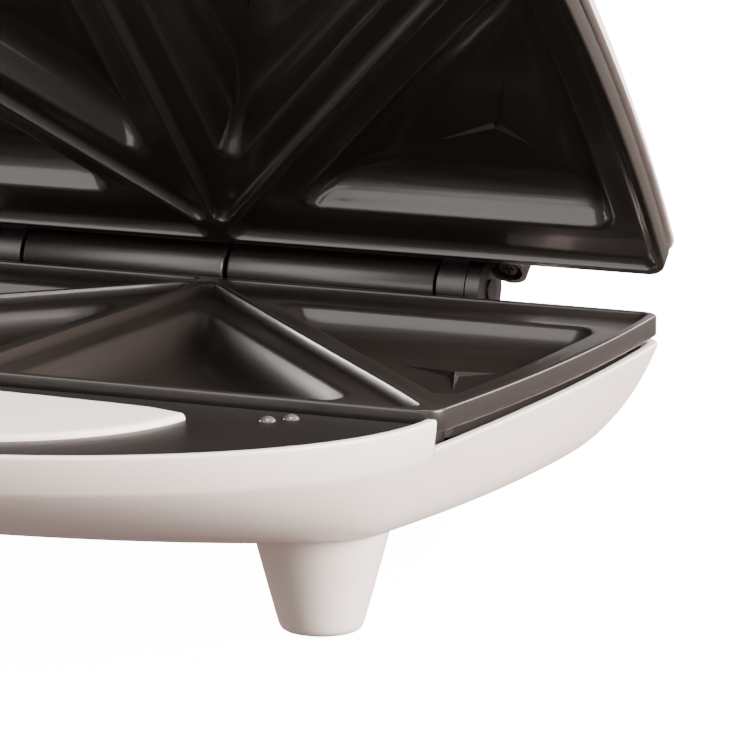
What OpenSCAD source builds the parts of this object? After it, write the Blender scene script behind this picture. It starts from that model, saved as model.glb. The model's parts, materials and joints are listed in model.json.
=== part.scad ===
// Countertop sandwich toaster: a white bowl-shaped base on four feet and a
// domed lid, each carrying a cast cooking plate with four triangular pockets.
// Construction frame: X to the right, Y to the back, Z up. The plates meet in
// the plane z = 0 when the lid is shut; y = 0 is the back edge of both plates.
// on_table() then moves everything so that the feet stand on z = 0.

/* [Cooking plates] */
// Width of a plate across its rims, at mid length
plate_w = 232; // [226:1:240]
// Depth of a plate, front edge to back edge
plate_d = 126; // [122:1:132]
// How far the side edges bow outwards
side_bow = 3.1; // [2:0.1:4]
// Corner radius of a plate
plate_corner = 6; // [4:0.5:8]
// Height of the rim's outer skirt
skirt_h = 4.8; // [4.5:0.1:5.4]
// Width of the flat top of the rim
rim_top = 1.6; // [1.2:0.1:2.2]
// Drop from the rim to the sealing land
rim_drop = 2.2; // [1.6:0.1:2.4]
// Width of the slope between rim and land
rim_slope = 3.2; // [2.5:0.1:4]
// Distance from the plate's edge to the pockets
pocket_margin = 12; // [11:0.5:13]
// Depth of a pocket below the rim
pocket_depth = 10.8; // [9:0.2:11.4]
// Corner radius of a pocket at its edge
pocket_corner = 7; // [6:0.5:9]
// Inward slope of a pocket's wall, top to floor
pocket_draft = 3.6; // [2:0.2:5]
// Thickness of the casting under the pockets
plate_wall = 2.4; // [2:0.1:3]
// Width of the crest of a dividing ridge
ridge_top = 1.4; // [1:0.1:2]
// Width of a dividing ridge at the land
ridge_base = 6.4; // [5:0.2:8]

/* [Body] */
// Overhang of the body outside the plates
overhang = 1; // [0.8:0.1:1.4]
// Wall thickness of both shells
wall = 2.4; // [2:0.1:2.8]
// Reach of the rounded front, measured from the step behind the lip
front_reach = 77; // [70:1:84]
// How far the body narrows towards the step behind the lip
front_bow = 1.9; // [1:0.1:3]
// Distance from the plates' front edge to the step behind the lip
step_gap = 4; // [3:0.5:6]
// Gap from the meeting plane to the top of the front lip
lip_gap = 0.8; // [0.5:0.1:1.2]
// Gap from the meeting plane to the shells' side rims
rim_gap = 6.4; // [6:0.1:7]
// Height of the bowl below its side rim
base_depth = 20; // [19.6:0.2:26]
// Height of the dome above its side rim
lid_depth = 22; // [21:0.5:30]
// How far the side walls curve inwards
side_inset = 11; // [8:1:20]
// How far the dome's sides curve inwards
lid_side_inset = 17; // [14:1:20]
// How far the front wall curves inwards
front_inset = 58; // [50:1:62]
// How far the back wall curves inwards
back_inset = 18; // [8:1:20]
// Rounding of the shells' back corners
back_corner = 9; // [7:1:12]

/* [Front] */
// Thickness of the black front panels
panel_t = 2.4; // [2:0.1:3]
// Depth of a front panel below the meeting plane
panel_drop = 2.6; // [2.4:0.1:3]
// Half width of the grip pad
pad_half_w = 64; // [54:1:70]
// Reach of the grip pad, back edge to front
pad_reach = 50; // [40:1:52]
// How far the grip pad stands above its panel
pad_rise = 1.2; // [0.8:0.1:1.6]
// Width of the open slot around the grip pad
pad_slot = 0.7; // [0.5:0.1:1]
// Radius of an indicator lens
lens_r = 1.7; // [1.5:0.1:2.2]
// Spacing of the two indicator lenses
lens_pitch = 5.2; // [5:0.1:8]

/* [Hinge] */
// Height of the hinge axis above the meeting plane
hinge_z = 0; // [0:0.1:0.4]
// Distance of the hinge axis behind the plates
hinge_y = 10.6; // [10.4:0.1:12]
// Radius of the hinge barrels
barrel_r = 7; // [6.6:0.1:7.2]
// Radius of a hinge pin
pin_r = 2; // [1.6:0.1:2.4]
// Distance between the two hinge ears, inner faces
ear_span = 125; // [114:0.2:126]
// Thickness of a hinge ear
ear_t = 3.4; // [3:0.1:4]
// Length of a short hinge knuckle
knuckle_l = 7; // [5:0.5:9]
// Opening of the lid as drawn, in degrees
lid_open = 46.3; // [0:0.1:104]

/* [Feet] */
// Height of a foot below the body
foot_h = 22; // [16:0.2:26]
// Radius of a foot where it meets the body
foot_top_r = 14.4; // [12:0.2:16]
// Radius of a foot at the bottom
foot_bottom_r = 8.4; // [7.6:0.2:10]
// Distance of the front feet from the middle
front_foot_x = 87; // [80:1:90]
// Distance of the back feet from the middle
back_foot_x = 50; // [44:1:56]

/* [Heating] */
// Radius of the heating element's tube
tube_r = 3.25; // [2.8:0.05:3.3]
// Half distance between the element's two runs
element_half = 27; // [24:1:29]
// Half length of the element's straight runs
element_run = 58; // [50:1:62]
// Thickness of the heat reflectors
reflector_t = 0.6; // [0.4:0.1:0.8]

/* [Latch] */
// Width of the latch clip
latch_w = 28; // [20:1:34]
// Thickness of the latch clip
latch_t = 3; // [2.4:0.1:3.4]
// Angle between the latch as drawn and hooked in, in degrees
latch_swing = 35; // [25:1:45]

/* [Hidden] */

white = "whitesmoke";
black = "dimgray";
eps = 0.01;
fit = 0.04;       // running clearance of a pin or screw in its bore
clear = 0.4;      // gap between neighbouring mouldings
reach = 400;      // longer than the whole toaster, for cutting tools

half_w = plate_w / 2;
half_d = plate_d / 2;
land_z = -rim_drop;
floor_z = -pocket_depth;
under_z = floor_z - plate_wall;
body_half = half_w + overhang;
body_back = overhang;
lower_bow = 3.2;    // extra narrowing at the bottom of the bowl, in front
corner_growth = 27; // extra back corner radius at the bottom of the bowl
step_y = -plate_d - step_gap;
rim_z = -rim_gap;
base_bottom = rim_z - base_depth;
floor_in = base_bottom + wall;
lid_top = rim_gap + lid_depth;
rim_height = -base_bottom + foot_h;
element_mid = 1 - half_d;
steps = [0, 9, 22, 36, 49, 61, 74, 90];

// ---- outlines -------------------------------------------------------------

// Half width of an outline at a given y, for its half width at mid length
function side_x(hw, y, bow = side_bow) = hw - bow * pow((y + half_d) / half_d, 2);

function mirrored(right) = concat(right,
    [for (i = [len(right) - 1 : -1 : 0]) if (right[i][0] > eps) [-right[i][0], right[i][1]]]);

// Four-sided outline with bowed sides and round corners
function plate_outline(hw, back, front, r) = mirrored(concat(
    [for (a = [90 : -15 : 0]) [side_x(hw, back - r) - r + r * cos(a), back - r + r * sin(a)]],
    [for (i = [1 : 7]) let (y = back - r + (front - back + 2 * r) * i / 8) [side_x(hw, y), y]],
    [for (a = [0 : -15 : -90]) [side_x(hw, front + r) - r + r * cos(a), front + r + r * sin(a)]]));

// Outline with bowed sides and a half-ellipse front
function body_outline(hw, back, r, nose, bow = front_bow) = mirrored(concat(
    [for (a = [90 : -18 : 0]) [side_x(hw, back - r) - r + r * cos(a), back - r + r * sin(a)]],
    [for (i = [1 : 6]) let (y = back - r + (step_y - back + r) * i / 7)
        [side_x(hw, y, y > -half_d ? side_bow : bow), y]],
    [for (u = [0 : 7.5 : 90]) [side_x(hw, step_y, bow) * cos(u), step_y - nose * sin(u)]]));

module slice(z, points) translate([0, 0, z]) linear_extrude(eps) polygon(points);

// Shell body as a stack of slices from the rim to the flat bottom, drawn
// downwards; t is how far every face is moved inwards
module bowl(depth, inset, t) {
    hull() {
        slice(-lip_gap + t, body_outline(body_half - t, body_back - t, back_corner, front_reach - t));
        bowl_slice(depth, inset, t, 0);
    }
    for (i = [1 : len(steps) - 1]) hull() {
        bowl_slice(depth, inset, t, steps[i - 1]);
        bowl_slice(depth, inset, t, steps[i]);
    }
}

// The slice at angle a of the quarter turn from the upright rim to the flat bottom
module bowl_slice(depth, inset, t, a) {
    c = 1 - cos(a);
    slice(rim_z - (depth - t) * sin(a),
          body_outline(body_half - t - inset * sqrt(c), body_back - t - back_inset * c,
                       back_corner + corner_growth * c, front_reach - t - (front_inset - t) * pow(c, 0.8),
                       front_bow + lower_bow * sqrt(c)));
}

module bar_x(x0, x1, r) translate([x0, 0, 0]) rotate([0, 90, 0]) cylinder(r = r, h = x1 - x0, $fn = 64);

module at_hinge() translate([0, hinge_y, hinge_z]) children();

module both_sides() {
    children();
    mirror([1, 0, 0]) children();
}

module on_table() translate([0, -mid_y, rim_height]) children();

module lid_place() on_table() at_hinge() rotate([-lid_open, 0, 0])
    translate([0, -hinge_y, -hinge_z]) children();

// Lid parts are drawn as base parts and turned upside down
module flipped() mirror([0, 0, 1]) children();

// ---- hinge housings -------------------------------------------------------

boss_r = 4.8;
boss_x = ear_span / 2 + ear_t + boss_r - 0.1;
house_half = boss_x + boss_r + 1.6;
house_back = hinge_y + barrel_r + 0.8;
trough_r = barrel_r + 0.6;
lid_house_back = hinge_y - 1.1;
lid_house_z = barrel_r + 0.8;
gland_out = 2;

// Rearmost point of the open lid: a slice's back edge, turned about the hinge
function turned_y(y, z) = hinge_y + (y - hinge_y) * cos(lid_open) + (z - hinge_z) * sin(lid_open);
lid_rear = max([for (a = steps) turned_y(lid_house_back - 6 * (1 - cos(a)),
                                         lid_house_z + (lid_top - lid_house_z) * sin(a))]);
mid_y = (step_y - front_reach + max(lid_rear, house_back + gland_out)) / 2;

function house_outline(t, back, r) = [
    for (a = [90 : -18 : 0]) [house_half - t - r + r * cos(a), back - r + r * sin(a)],
    [house_half - t, -20], [-house_half + t, -20],
    for (a = [180 : -18 : 90]) [-house_half + t + r + r * cos(a), back - r + r * sin(a)]];

module base_house(t) hull() for (a = steps)
    slice(rim_z - 2 - (base_depth - 2 - t) * sin(a),
          house_outline(t + 3 * (1 - cos(a)), house_back - t - 7 * (1 - cos(a)), 8));

module lid_house(t) hull() for (a = steps)
    slice(lid_house_z + (lid_top - t - lid_house_z) * sin(a),
          house_outline(t + 8 * (1 - cos(a)), lid_house_back - t - 6 * (1 - cos(a)), 5));

// ---- feet and fasteners ---------------------------------------------------

front_foot_y = -plate_d;
back_foot_y = -5;
foot_places = [[-front_foot_x, front_foot_y], [front_foot_x, front_foot_y],
               [-back_foot_x, back_foot_y], [back_foot_x, back_foot_y]];
foot_bottom = base_bottom - foot_h;
pad_r = 6.2;
pad_t = 1.6;
pad_proud = 0.3;
foot_screw_r = 1.75;
foot_head_r = 3.6;
foot_head_z = base_bottom - 6;
post_r = 4.6;

module foot(i) color(white) on_table() translate([foot_places[i][0], foot_places[i][1], 0])
difference() {
    union() {
        translate([0, 0, foot_bottom + 1.2 + pad_proud])
            cylinder(r1 = foot_bottom_r, r2 = foot_top_r, h = foot_h - 1.2 - pad_proud, $fn = 96);
        translate([0, 0, foot_bottom + pad_proud])
            cylinder(r1 = foot_bottom_r - 0.9, r2 = foot_bottom_r, h = 1.2, $fn = 96);
    }
    translate([0, 0, foot_bottom - 1]) cylinder(r = pad_r + fit, h = pad_t - pad_proud + 1.3 + fit, $fn = 64);
    translate([0, 0, foot_bottom]) cylinder(r = foot_head_r + clear, h = foot_head_z - foot_bottom, $fn = 48);
    translate([0, 0, foot_head_z - 1]) cylinder(r = foot_screw_r + clear, h = 20, $fn = 48);
}

module foot_pads() color(black) on_table() for (p = foot_places)
    translate([p[0], p[1], foot_bottom]) cylinder(r = pad_r, h = pad_t, $fn = 64);

// Screw with a domed head at z = 0 and its shank pointing up
module screw(r, head_r, head_h, length) {
    difference() {
        translate([0, 0, -head_h]) cylinder(r1 = head_r * 0.7, r2 = head_r, h = head_h, $fn = 48);
        for (a = [0, 90]) rotate([0, 0, a])
            translate([-head_r * 0.5, -0.35, -head_h - 1]) cube([head_r, 0.7, head_h * 0.5 + 1]);
    }
    translate([0, 0, -eps]) cylinder(r = r, h = length + eps, $fn = 48);
}

module foot_screws() color("silver") on_table() for (p = foot_places)
    translate([p[0], p[1], foot_head_z]) screw(foot_screw_r, foot_head_r, 2.2, floor_in - foot_head_z + 9);

// ---- base shell -----------------------------------------------------------

gland_x = 40;
gland_z = -17;
gland_r = 6;
gland_flange_r = 8.4;
cord_r = 3.6;
vent_rows = 5;
vent_pitch = 9;
vent_y = 46 - plate_d;

latch_y = step_y - front_reach - 2.6;
latch_z = lip_gap + 11.2;
catch_z = -8;
catch_h = 5;
toe_t = 2.4;

// Ledge inside the front wall that a front panel rests on
module panel_ledge() translate([0, 0, -panel_drop - panel_t - 2.4]) linear_extrude(2.4)
intersection() {
    difference() {
        polygon(body_outline(body_half - wall + 0.5, 0, back_corner, front_reach - wall + 0.5));
        polygon(body_outline(body_half - wall - 3, 0, back_corner, front_reach - wall - 3));
    }
    translate([-reach / 2, step_y - 1 - reach]) square([reach, reach]);
}

// Short posts that take the tabs of a heat reflector
module reflector_sockets(bottom) for (p = reflector_posts) translate([p[0], p[1], bottom])
    cylinder(r = 3.4, h = reflector_z - bottom, $fn = 32);

module reflector_socket_holes() for (p = reflector_posts) translate([p[0], p[1], reflector_z - 2])
    cylinder(r = tab_r + fit, h = 3, $fn = 32);

module base_shell() color(white) on_table() difference() {
    union() {
        difference() {
            bowl(base_depth, side_inset, 0);
            // the side and back rims stand lower than the front lip
            translate([-reach / 2, step_y, rim_z - 0.6]) rotate([0.5, 0, 0]) cube([reach, reach, 40]);
        }
        base_house(0);
        // corner blocks beside the hinge ears
        translate([0, 0, rim_z - 2.1]) linear_extrude(-0.4 - rim_z + 2.1) difference() {
            polygon(house_outline(0, house_back, 8));
            translate([-reach / 2, -reach + body_back]) square([reach, reach]);
        }
    }
    difference() {
        union() {
            bowl(base_depth, side_inset, wall);
            base_house(wall);
        }
        panel_ledge();
        reflector_sockets(base_bottom);
    }
    // room for the hinge and its black cradle
    at_hinge() bar_x(-house_half + 1.6, house_half - 1.6, trough_r + 0.4);
    translate([-house_half + 9.6, body_back - wall - 1, rim_z - 12]) cube([2 * house_half - 19.2, house_back - wall - body_back + 3, 30]);
    translate([-reach / 2, hinge_y, rim_z + 0.4]) cube([reach, reach, 30]);
    for (p = foot_places) translate([p[0], p[1], base_bottom - 1])
        cylinder(r = foot_screw_r + clear, h = wall + 2, $fn = 48);
    reflector_socket_holes();
    translate([gland_x, house_back - 16, gland_z]) rotate([-90, 0, 0]) cylinder(r = gland_r + fit, h = 30, $fn = 96);
    translate([-latch_w / 2 - 1.2, step_y - front_reach - 1, catch_z - catch_h / 2])
        cube([latch_w + 2.4, 9, catch_h]);
    // cooling slots in the floor
    for (i = [0 : vent_rows - 1]) translate([-25, vent_y + vent_pitch * i, base_bottom - 1]) cube([50, 2.4, wall + 2]);
}

// ---- front panels ---------------------------------------------------------

panel_back = step_y + 2.2;
lens_mid = [body_half - 34.8, step_y - 5.7];
lens_angle = 48;
lens_places = [for (s = [-1, 1]) lens_mid + s * lens_pitch / 2 * [cos(lens_angle), sin(lens_angle)]];

pad_back = step_y - 6.5;

// Grip pad outline: a nearly straight back edge and a half-ellipse front
function pad_outline(t) = mirrored(concat(
    [for (i = [0 : 6]) let (x = (pad_half_w - 10) * i / 6) [x, pad_back + t - 3 * pow(x / pad_half_w, 2)]],
    [for (u = [0 : 7.5 : 90]) [(pad_half_w + t) * pow(cos(u), 0.8),
                              pad_back - 6 - (pad_reach - 6 + t) * pow(sin(u), 1.1)]]));

module front_panel_body(holes) difference() {
    union() {
        intersection() {
            translate([0, 0, -panel_drop - panel_t]) linear_extrude(panel_t)
                polygon(body_outline(body_half - wall - clear, 0, back_corner, front_reach - wall - clear));
            translate([-reach / 2, panel_back - reach, -20]) cube([reach, reach, 30]);
        }
        // raised bead along the curved edge
        difference() {
            translate([0, 0, -panel_drop - eps]) linear_extrude(0.7) difference() {
                polygon(body_outline(body_half - wall - clear, 0, back_corner, front_reach - wall - clear));
                polygon(body_outline(body_half - wall - clear - 1, 0, back_corner,
                                     front_reach - wall - clear - 1));
            }
            translate([-reach / 2, panel_back - 6, -20]) cube([reach, reach, 30]);
        }
        if (holes) for (p = lens_places) translate([p[0], p[1], -panel_drop - panel_t - 3])
            cylinder(r = lens_r + 1, h = 3.5, $fn = 48);
    }
    if (holes) {
        translate([0, 0, -20]) linear_extrude(30) polygon(pad_outline(pad_slot));
        for (p = lens_places) translate([p[0], p[1], -20]) cylinder(r = lens_r - 0.1 + fit, h = 30, $fn = 48);
    }
}

module front_panel() color(black) on_table() front_panel_body(true);

module grip_pad() color(white) on_table() {
    hull() {
        slice(-panel_drop + pad_rise, pad_outline(-2.2));
        slice(-panel_drop + pad_rise * 0.75, pad_outline(-1));
        slice(-panel_drop + pad_rise * 0.2, pad_outline(0));
        slice(-panel_drop - panel_t + 0.4, pad_outline(0));
    }
    // flange that keeps the pad from lifting out
    translate([0, 0, -panel_drop - panel_t - 1.6]) linear_extrude(1.6) polygon(pad_outline(2));
    translate([0, 0, -panel_drop - panel_t - eps]) linear_extrude(1) polygon(pad_outline(-0.2));
}

module lens(p) color("silver") on_table() translate([p[0], p[1], -panel_drop]) {
    translate([0, 0, -panel_t - 2]) cylinder(r = lens_r - 0.1, h = panel_t + 2.3, $fn = 48);
    intersection() {
        translate([0, 0, -lens_r * 0.5]) sphere(r = lens_r * 1.15, $fn = 48);
        translate([-5, -5, 0.05]) cube([10, 10, 5]);
    }
}

module neon_lamps() color("orange") on_table() for (p = lens_places)
    translate([p[0], p[1], -panel_drop - panel_t - 3.4 - 10]) {
        cylinder(r = 2.2, h = 8, $fn = 48);
        translate([0, 0, 8 - eps]) cylinder(r1 = 2.2, r2 = 0.6, h = 2, $fn = 48);
    }

// ---- inner frames ---------------------------------------------------------

ring_bottom = -skirt_h - 3.2;
ring_in = 8.4;
plate_screw_places = [for (sx = [-1, 1], sy = [0, 1])
    [sx * (side_x(half_w, -9) - 8.6), sy == 0 ? -8.6 : -plate_d + 8.6]];
plate_boss_r = 3.2;
plate_screw_r = 1.5;

module frame_ring() translate([0, 0, ring_bottom]) linear_extrude(-skirt_h - ring_bottom) difference() {
    polygon(plate_outline(body_half - wall - clear - 1.5, body_back - wall - clear,
                          -plate_d + 0.4, plate_corner + 12));
    polygon(plate_outline(half_w - ring_in, -ring_in, -plate_d + ring_in, pocket_corner));
}

module ring_lugs() for (p = plate_screw_places)
    translate([p[0], p[1], ring_bottom]) cylinder(r = 5.4, h = -skirt_h - ring_bottom, $fn = 48);

module ring_holes() for (p = plate_screw_places)
    translate([p[0], p[1], ring_bottom - 1]) cylinder(r = plate_boss_r + 0.2, h = 20, $fn = 48);

module ears() for (s = [-1, 1]) {
    x0 = s > 0 ? ear_span / 2 : -ear_span / 2 - ear_t;
    at_hinge() bar_x(x0, x0 + ear_t, barrel_r);
    translate([x0, hinge_y - 5.6, rim_z - 9]) cube([ear_t, 9.8, -rim_z + 9]);
}

// Curved black trough under the hinge barrels
module cradle() {
    w = ear_span / 2 + ear_t;
    difference() {
        at_hinge() bar_x(-w, w, trough_r + 1.6);
        at_hinge() bar_x(-ear_span / 2, ear_span / 2, trough_r);
        translate([-reach / 2, hinge_y - 2, -3.2]) cube([reach, 40, 40]);
        translate([-reach / 2, -reach / 2, -0.6]) cube([reach, reach, 40]);
        translate([-reach / 2, body_back + 0.4 - reach, -reach / 2]) cube([reach, reach, reach]);
        translate([-reach / 2, house_back - wall - 1.2, -reach / 2]) cube([reach, reach, reach]);
    }
    translate([-w, -3, ring_bottom]) cube([2 * w, 6, 3.1]);
}

module base_frame() color(black) on_table() difference() {
    union() {
        frame_ring();
        ring_lugs();
        cradle();
        ears();
        for (p = foot_places) translate([p[0], p[1], floor_in])
            cylinder(r = post_r, h = ring_bottom - floor_in + 0.5, $fn = 64);
    }
    ring_holes();
    at_hinge() bar_x(-reach / 2, reach / 2, pin_r + fit);
    for (p = foot_places) translate([p[0], p[1], floor_in - 1])
        cylinder(r = foot_screw_r + fit, h = 12, $fn = 48);
    // passage for the wires that climb into the hinge
    translate([wire_x, hinge_y, -30]) cylinder(r = 3.4, h = 26, $fn = 48);
}

module hinge_pin(s) color("silver") on_table() at_hinge() {
    x_in = ear_span / 2 - knuckle_l + 0.4;
    x_out = ear_span / 2 + ear_t;
    if (s > 0) {
        bar_x(x_in, x_out + 0.3, pin_r);
        bar_x(x_out + 0.1, x_out + 0.7, pin_r + 0.6);
    } else {
        bar_x(-x_out - 0.3, -x_in, pin_r);
        bar_x(-x_out - 0.7, -x_out - 0.1, pin_r + 0.6);
    }
}

// ---- cooking plate --------------------------------------------------------

ridge_root = [0, -3];
corner_end = [side_x(half_w, -plate_d + 4) - 4, -plate_d + 4];
ridge_angle = atan2(ridge_root[1] - corner_end[1], corner_end[0] - ridge_root[0]);
// Inner edges of a triangular pocket, as centres of its three corner arcs
pr = pocket_corner;
m = pocket_margin + pr;
side_edge = side_x(half_w, -half_d / 2) - m;
// Point on the line that runs at distance m beside the diagonal ridge
function beside_x(y, s) = ridge_root[0] + s * m / sin(ridge_angle)
    + (ridge_root[1] - y) / tan(ridge_angle);
function beside_y(x, s) = ridge_root[1] + s * m / cos(ridge_angle) - x * tan(ridge_angle);
back_pocket = [[beside_x(-m - 1.5, 1), -m - 1.5], [side_edge, -m - 1.5], [side_edge, beside_y(side_edge, 1)]];
front_pocket = [[m, beside_y(m, -1)], [m, -plate_d + m], [beside_x(-plate_d + m, -1), -plate_d + m]];
pockets = [back_pocket, front_pocket];

// A pocket's shape between two levels, grown by t
module pocket(c, t, z_top, z_floor) hull() for (p = c) translate([p[0], p[1], z_floor])
    cylinder(r1 = pr - pocket_draft + t, r2 = pr + t, h = z_top - z_floor, $fn = 24);

module ridge(angle, length) translate([ridge_root[0], ridge_root[1], 0]) rotate([0, 0, angle])
    rotate([90, 0, 90]) linear_extrude(length) polygon([[-ridge_base / 2, land_z - 0.3], [ridge_base / 2, land_z - 0.3],
                                  [ridge_top / 2, -0.05], [-ridge_top / 2, -0.05]]);

// Centre of the circle that touches a pocket's three sides
function incentre(c) = let (a = norm(c[1] - c[2]), b = norm(c[0] - c[2]), d = norm(c[0] - c[1]))
    (a * c[0] + b * c[1] + d * c[2]) / (a + b + d);

// Three tapering ribs on a pocket's floor, pointing at its corners
module pocket_star(c) for (p = c) {
    o = incentre(c);
    leg = 0.42 * norm(p - o);
    translate([o[0], o[1], floor_z]) rotate([0, 0, atan2(p[1] - o[1], p[0] - o[0])])
        rotate([90, 0, 0]) translate([0, 0, -0.6]) linear_extrude(1.2)
            polygon([[-0.6, -0.2], [leg, -0.2], [leg, 0.1], [0, 0.9], [-0.6, 0.9]]);
}

clamp_x = [-57, 0, 57];
clamp_boss_y = [for (x = clamp_x) x == 0 ? element_mid : ridge_root[1] - abs(x) * tan(ridge_angle)];
clamp_boss_r = 4;
clamp_screw_r = 1.75;
element_z = under_z - tube_r;
clamp_z = element_z - tube_r;
reflector_z = clamp_z - 2.6 - reflector_t;

module cooking_plate() difference() {
    union() {
        difference() {
            translate([0, 0, -skirt_h]) linear_extrude(skirt_h)
                polygon(plate_outline(half_w, 0, -plate_d, plate_corner));
            hull() {
                slice(eps, plate_outline(half_w - rim_top, -rim_top, -plate_d + rim_top, plate_corner - 1));
                slice(land_z, plate_outline(half_w - rim_top - rim_slope, -rim_top - rim_slope,
                                            -plate_d + rim_top + rim_slope, plate_corner - 2));
            }
        }
        intersection() {
            union() {
                ridge(-90, plate_d);
                ridge(-ridge_angle, 170);
                ridge(180 + ridge_angle, 170);
            }
            translate([0, 0, -skirt_h]) linear_extrude(reach)
                polygon(plate_outline(half_w - 1, -1, -plate_d + 1, plate_corner - 1));
        }
        both_sides() for (c = pockets) linear_pocket_boss(c);
        for (i = [0 : 2]) translate([clamp_x[i], clamp_boss_y[i], clamp_z])
            cylinder(r = clamp_boss_r, h = -skirt_h - clamp_z + 1, $fn = 48);
        for (p = plate_screw_places) translate([p[0], p[1], ring_bottom])
            cylinder(r = plate_boss_r, h = -skirt_h - ring_bottom + 1, $fn = 48);
    }
    both_sides() for (c = pockets) difference() {
        pocket(c, 0, land_z + eps, floor_z);
        pocket_star(c);
    }
    for (i = [0 : 2]) translate([clamp_x[i], clamp_boss_y[i], clamp_z - 1])
        cylinder(r = clamp_screw_r + fit, h = 9, $fn = 48);
    for (p = plate_screw_places) translate([p[0], p[1], ring_bottom - 1])
        cylinder(r = plate_screw_r + fit, h = 5, $fn = 48);
}

// Underside of a pocket: the same triangle with straight walls
module linear_pocket_boss(c) translate([0, 0, under_z]) linear_extrude(-skirt_h - under_z + 1)
    hull() for (p = c) translate(p) circle(r = pr - pocket_draft * 0.3 + plate_wall * 0.5, $fn = 24);

module base_plate() color("dimgray") on_table() cooking_plate();

module plate_screws() for (p = plate_screw_places)
    translate([p[0], p[1], ring_bottom]) screw(plate_screw_r, 4.6, 1.6, 3.6);

module base_plate_screws() color("silver") on_table() plate_screws();

// ---- heating --------------------------------------------------------------

module element() translate([0, element_mid, element_z]) {
    for (s = [-1, 1]) translate([0, s * element_half, 0]) {
        bar_x(-element_run - 14, element_run, tube_r);
        bar_x(-element_run - 24, -element_run - 14, tube_r * 0.45);
    }
    translate([element_run, 0, 0]) rotate([0, 0, -90]) rotate_extrude(angle = 180, $fn = 96)
        translate([element_half, 0]) circle(r = tube_r, $fn = 48);
}

module clamps() for (i = [0 : 2]) difference() {
    translate([clamp_x[i] - 6, element_mid - element_half - 5, clamp_z - 1])
        cube([12, 2 * element_half + 10, 1]);
    translate([clamp_x[i], clamp_boss_y[i], clamp_z - 2]) cylinder(r = clamp_screw_r + 0.2, h = 4, $fn = 48);
}

module clamp_screws() for (i = [0 : 2])
    translate([clamp_x[i], clamp_boss_y[i], clamp_z - 1]) screw(clamp_screw_r, 3.4, 1, 8);

tab_r = 1.25;
reflector_gap = 16;     // from the plates' edges to the reflectors' edges
reflector_front = reflector_gap - plate_d;
reflector_half = half_w - 2 * reflector_gap;
reflector_posts = [for (y = [reflector_front + 12, -reflector_gap - 10], s = [-1, 1]) [s * (reflector_half - 14), y]];
module reflector() {
    translate([-reflector_half, reflector_front, reflector_z])
        cube([2 * reflector_half, -reflector_gap - reflector_front, reflector_t]);
    for (y = [reflector_front, -reflector_gap - reflector_t]) translate([-reflector_half, y, reflector_z])
        cube([2 * reflector_half, reflector_t, 4]);
    for (p = reflector_posts) translate([p[0], p[1], reflector_z - 1.6])
        cylinder(r = tab_r, h = 1.6 + reflector_t / 2, $fn = 48);
}

module base_element() color("gray") on_table() element();
module base_element_clamps() color("silver") on_table() clamps();
module base_clamp_screws() color("silver") on_table() clamp_screws();
module base_reflector() color("lightgray") on_table() reflector();

// ---- controls and wiring --------------------------------------------------

thermostat_gap = 17;    // from the plate's front edge
module thermostat() color("sienna") on_table() translate([0, thermostat_gap - plate_d, -skirt_h - 7.6]) {
    cylinder(r = 7.4, h = 4.6, $fn = 64);
    translate([0, 0, 4.6 - eps]) cylinder(r = 8, h = 3, $fn = 64);
    for (s = [-1, 1]) translate([s * 4 - 1.6, -0.4, -6]) cube([3.2, 0.8, 6.1]);
}

module thermal_fuse() color("beige") on_table() translate([0, -17, -skirt_h - 2.4]) {
    bar_x(-6, 6, 2.3);
    bar_x(-15, -6 + eps, 0.8);
    bar_x(6 - eps, 15, 0.8);
}

block_y = 0.5;
module terminal_block() color("ivory") on_table() difference() {
    translate([-18, block_y - 5.5, floor_in]) cube([30, 11, 8]);
    for (i = [0 : 2]) translate([-13 + 10 * i, block_y, floor_in + 3]) cylinder(r = 2, h = 9, $fn = 32);
}

wire_x = 24;
wire_r = 1.9;
wire_z = -13.6;
lead_angle = 40;
module base_wiring() color("tan") on_table() {
    // sleeve that climbs from the terminal block, through the trough, to the hinge axis
    translate([wire_x, hinge_y, wire_z]) cylinder(r = wire_r, h = -1.2 - wire_z, $fn = 48);
    translate([wire_x, block_y, wire_z]) rotate([-90, 0, 0]) cylinder(r = wire_r, h = hinge_y - block_y, $fn = 48);
    translate([8, block_y, wire_z]) bar_x(0, wire_x - 8, wire_r);
    for (y = [block_y, hinge_y]) translate([wire_x, y, wire_z]) sphere(r = wire_r + 0.1, $fn = 48);
}

module lid_wiring() color("tan") lid_place() {
    at_hinge() bar_x(wire_x + 3, wire_x + 16, wire_r);
    translate([wire_x + 16, hinge_y, hinge_z]) sphere(r = wire_r + 0.1, $fn = 48);
    translate([wire_x + 16, hinge_y, hinge_z]) rotate([lead_angle, 0, 0]) cylinder(r = wire_r, h = 15, $fn = 48);
}

module cord_gland() color(black) on_table() translate([gland_x, house_back, gland_z]) rotate([-90, 0, 0])
difference() {
    union() {
        translate([0, 0, -8]) cylinder(r = gland_r, h = 9, $fn = 96);
        translate([0, 0, 0.4]) cylinder(r1 = gland_flange_r, r2 = gland_flange_r - 1.2, h = gland_out - 0.4, $fn = 96);
    }
    translate([0, 0, -20]) cylinder(r = cord_r, h = 40, $fn = 96);
}

// ---- lid ------------------------------------------------------------------

boss_y = hinge_y - 4.1;
boss_z = 3;
frame_screw_r = 1.5;
lug_y = step_y - 7;
lug_z = 6.4;
lug_t = 2.6;
// x, y, underside of the screwed lug and its thickness
frame_screw_places = [[-boss_x, boss_y, boss_z + 1.4, 3.6], [boss_x, boss_y, boss_z + 1.4, 3.6],
                      [-60, lug_y, lug_z, lug_t], [60, lug_y, lug_z, lug_t]];

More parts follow.
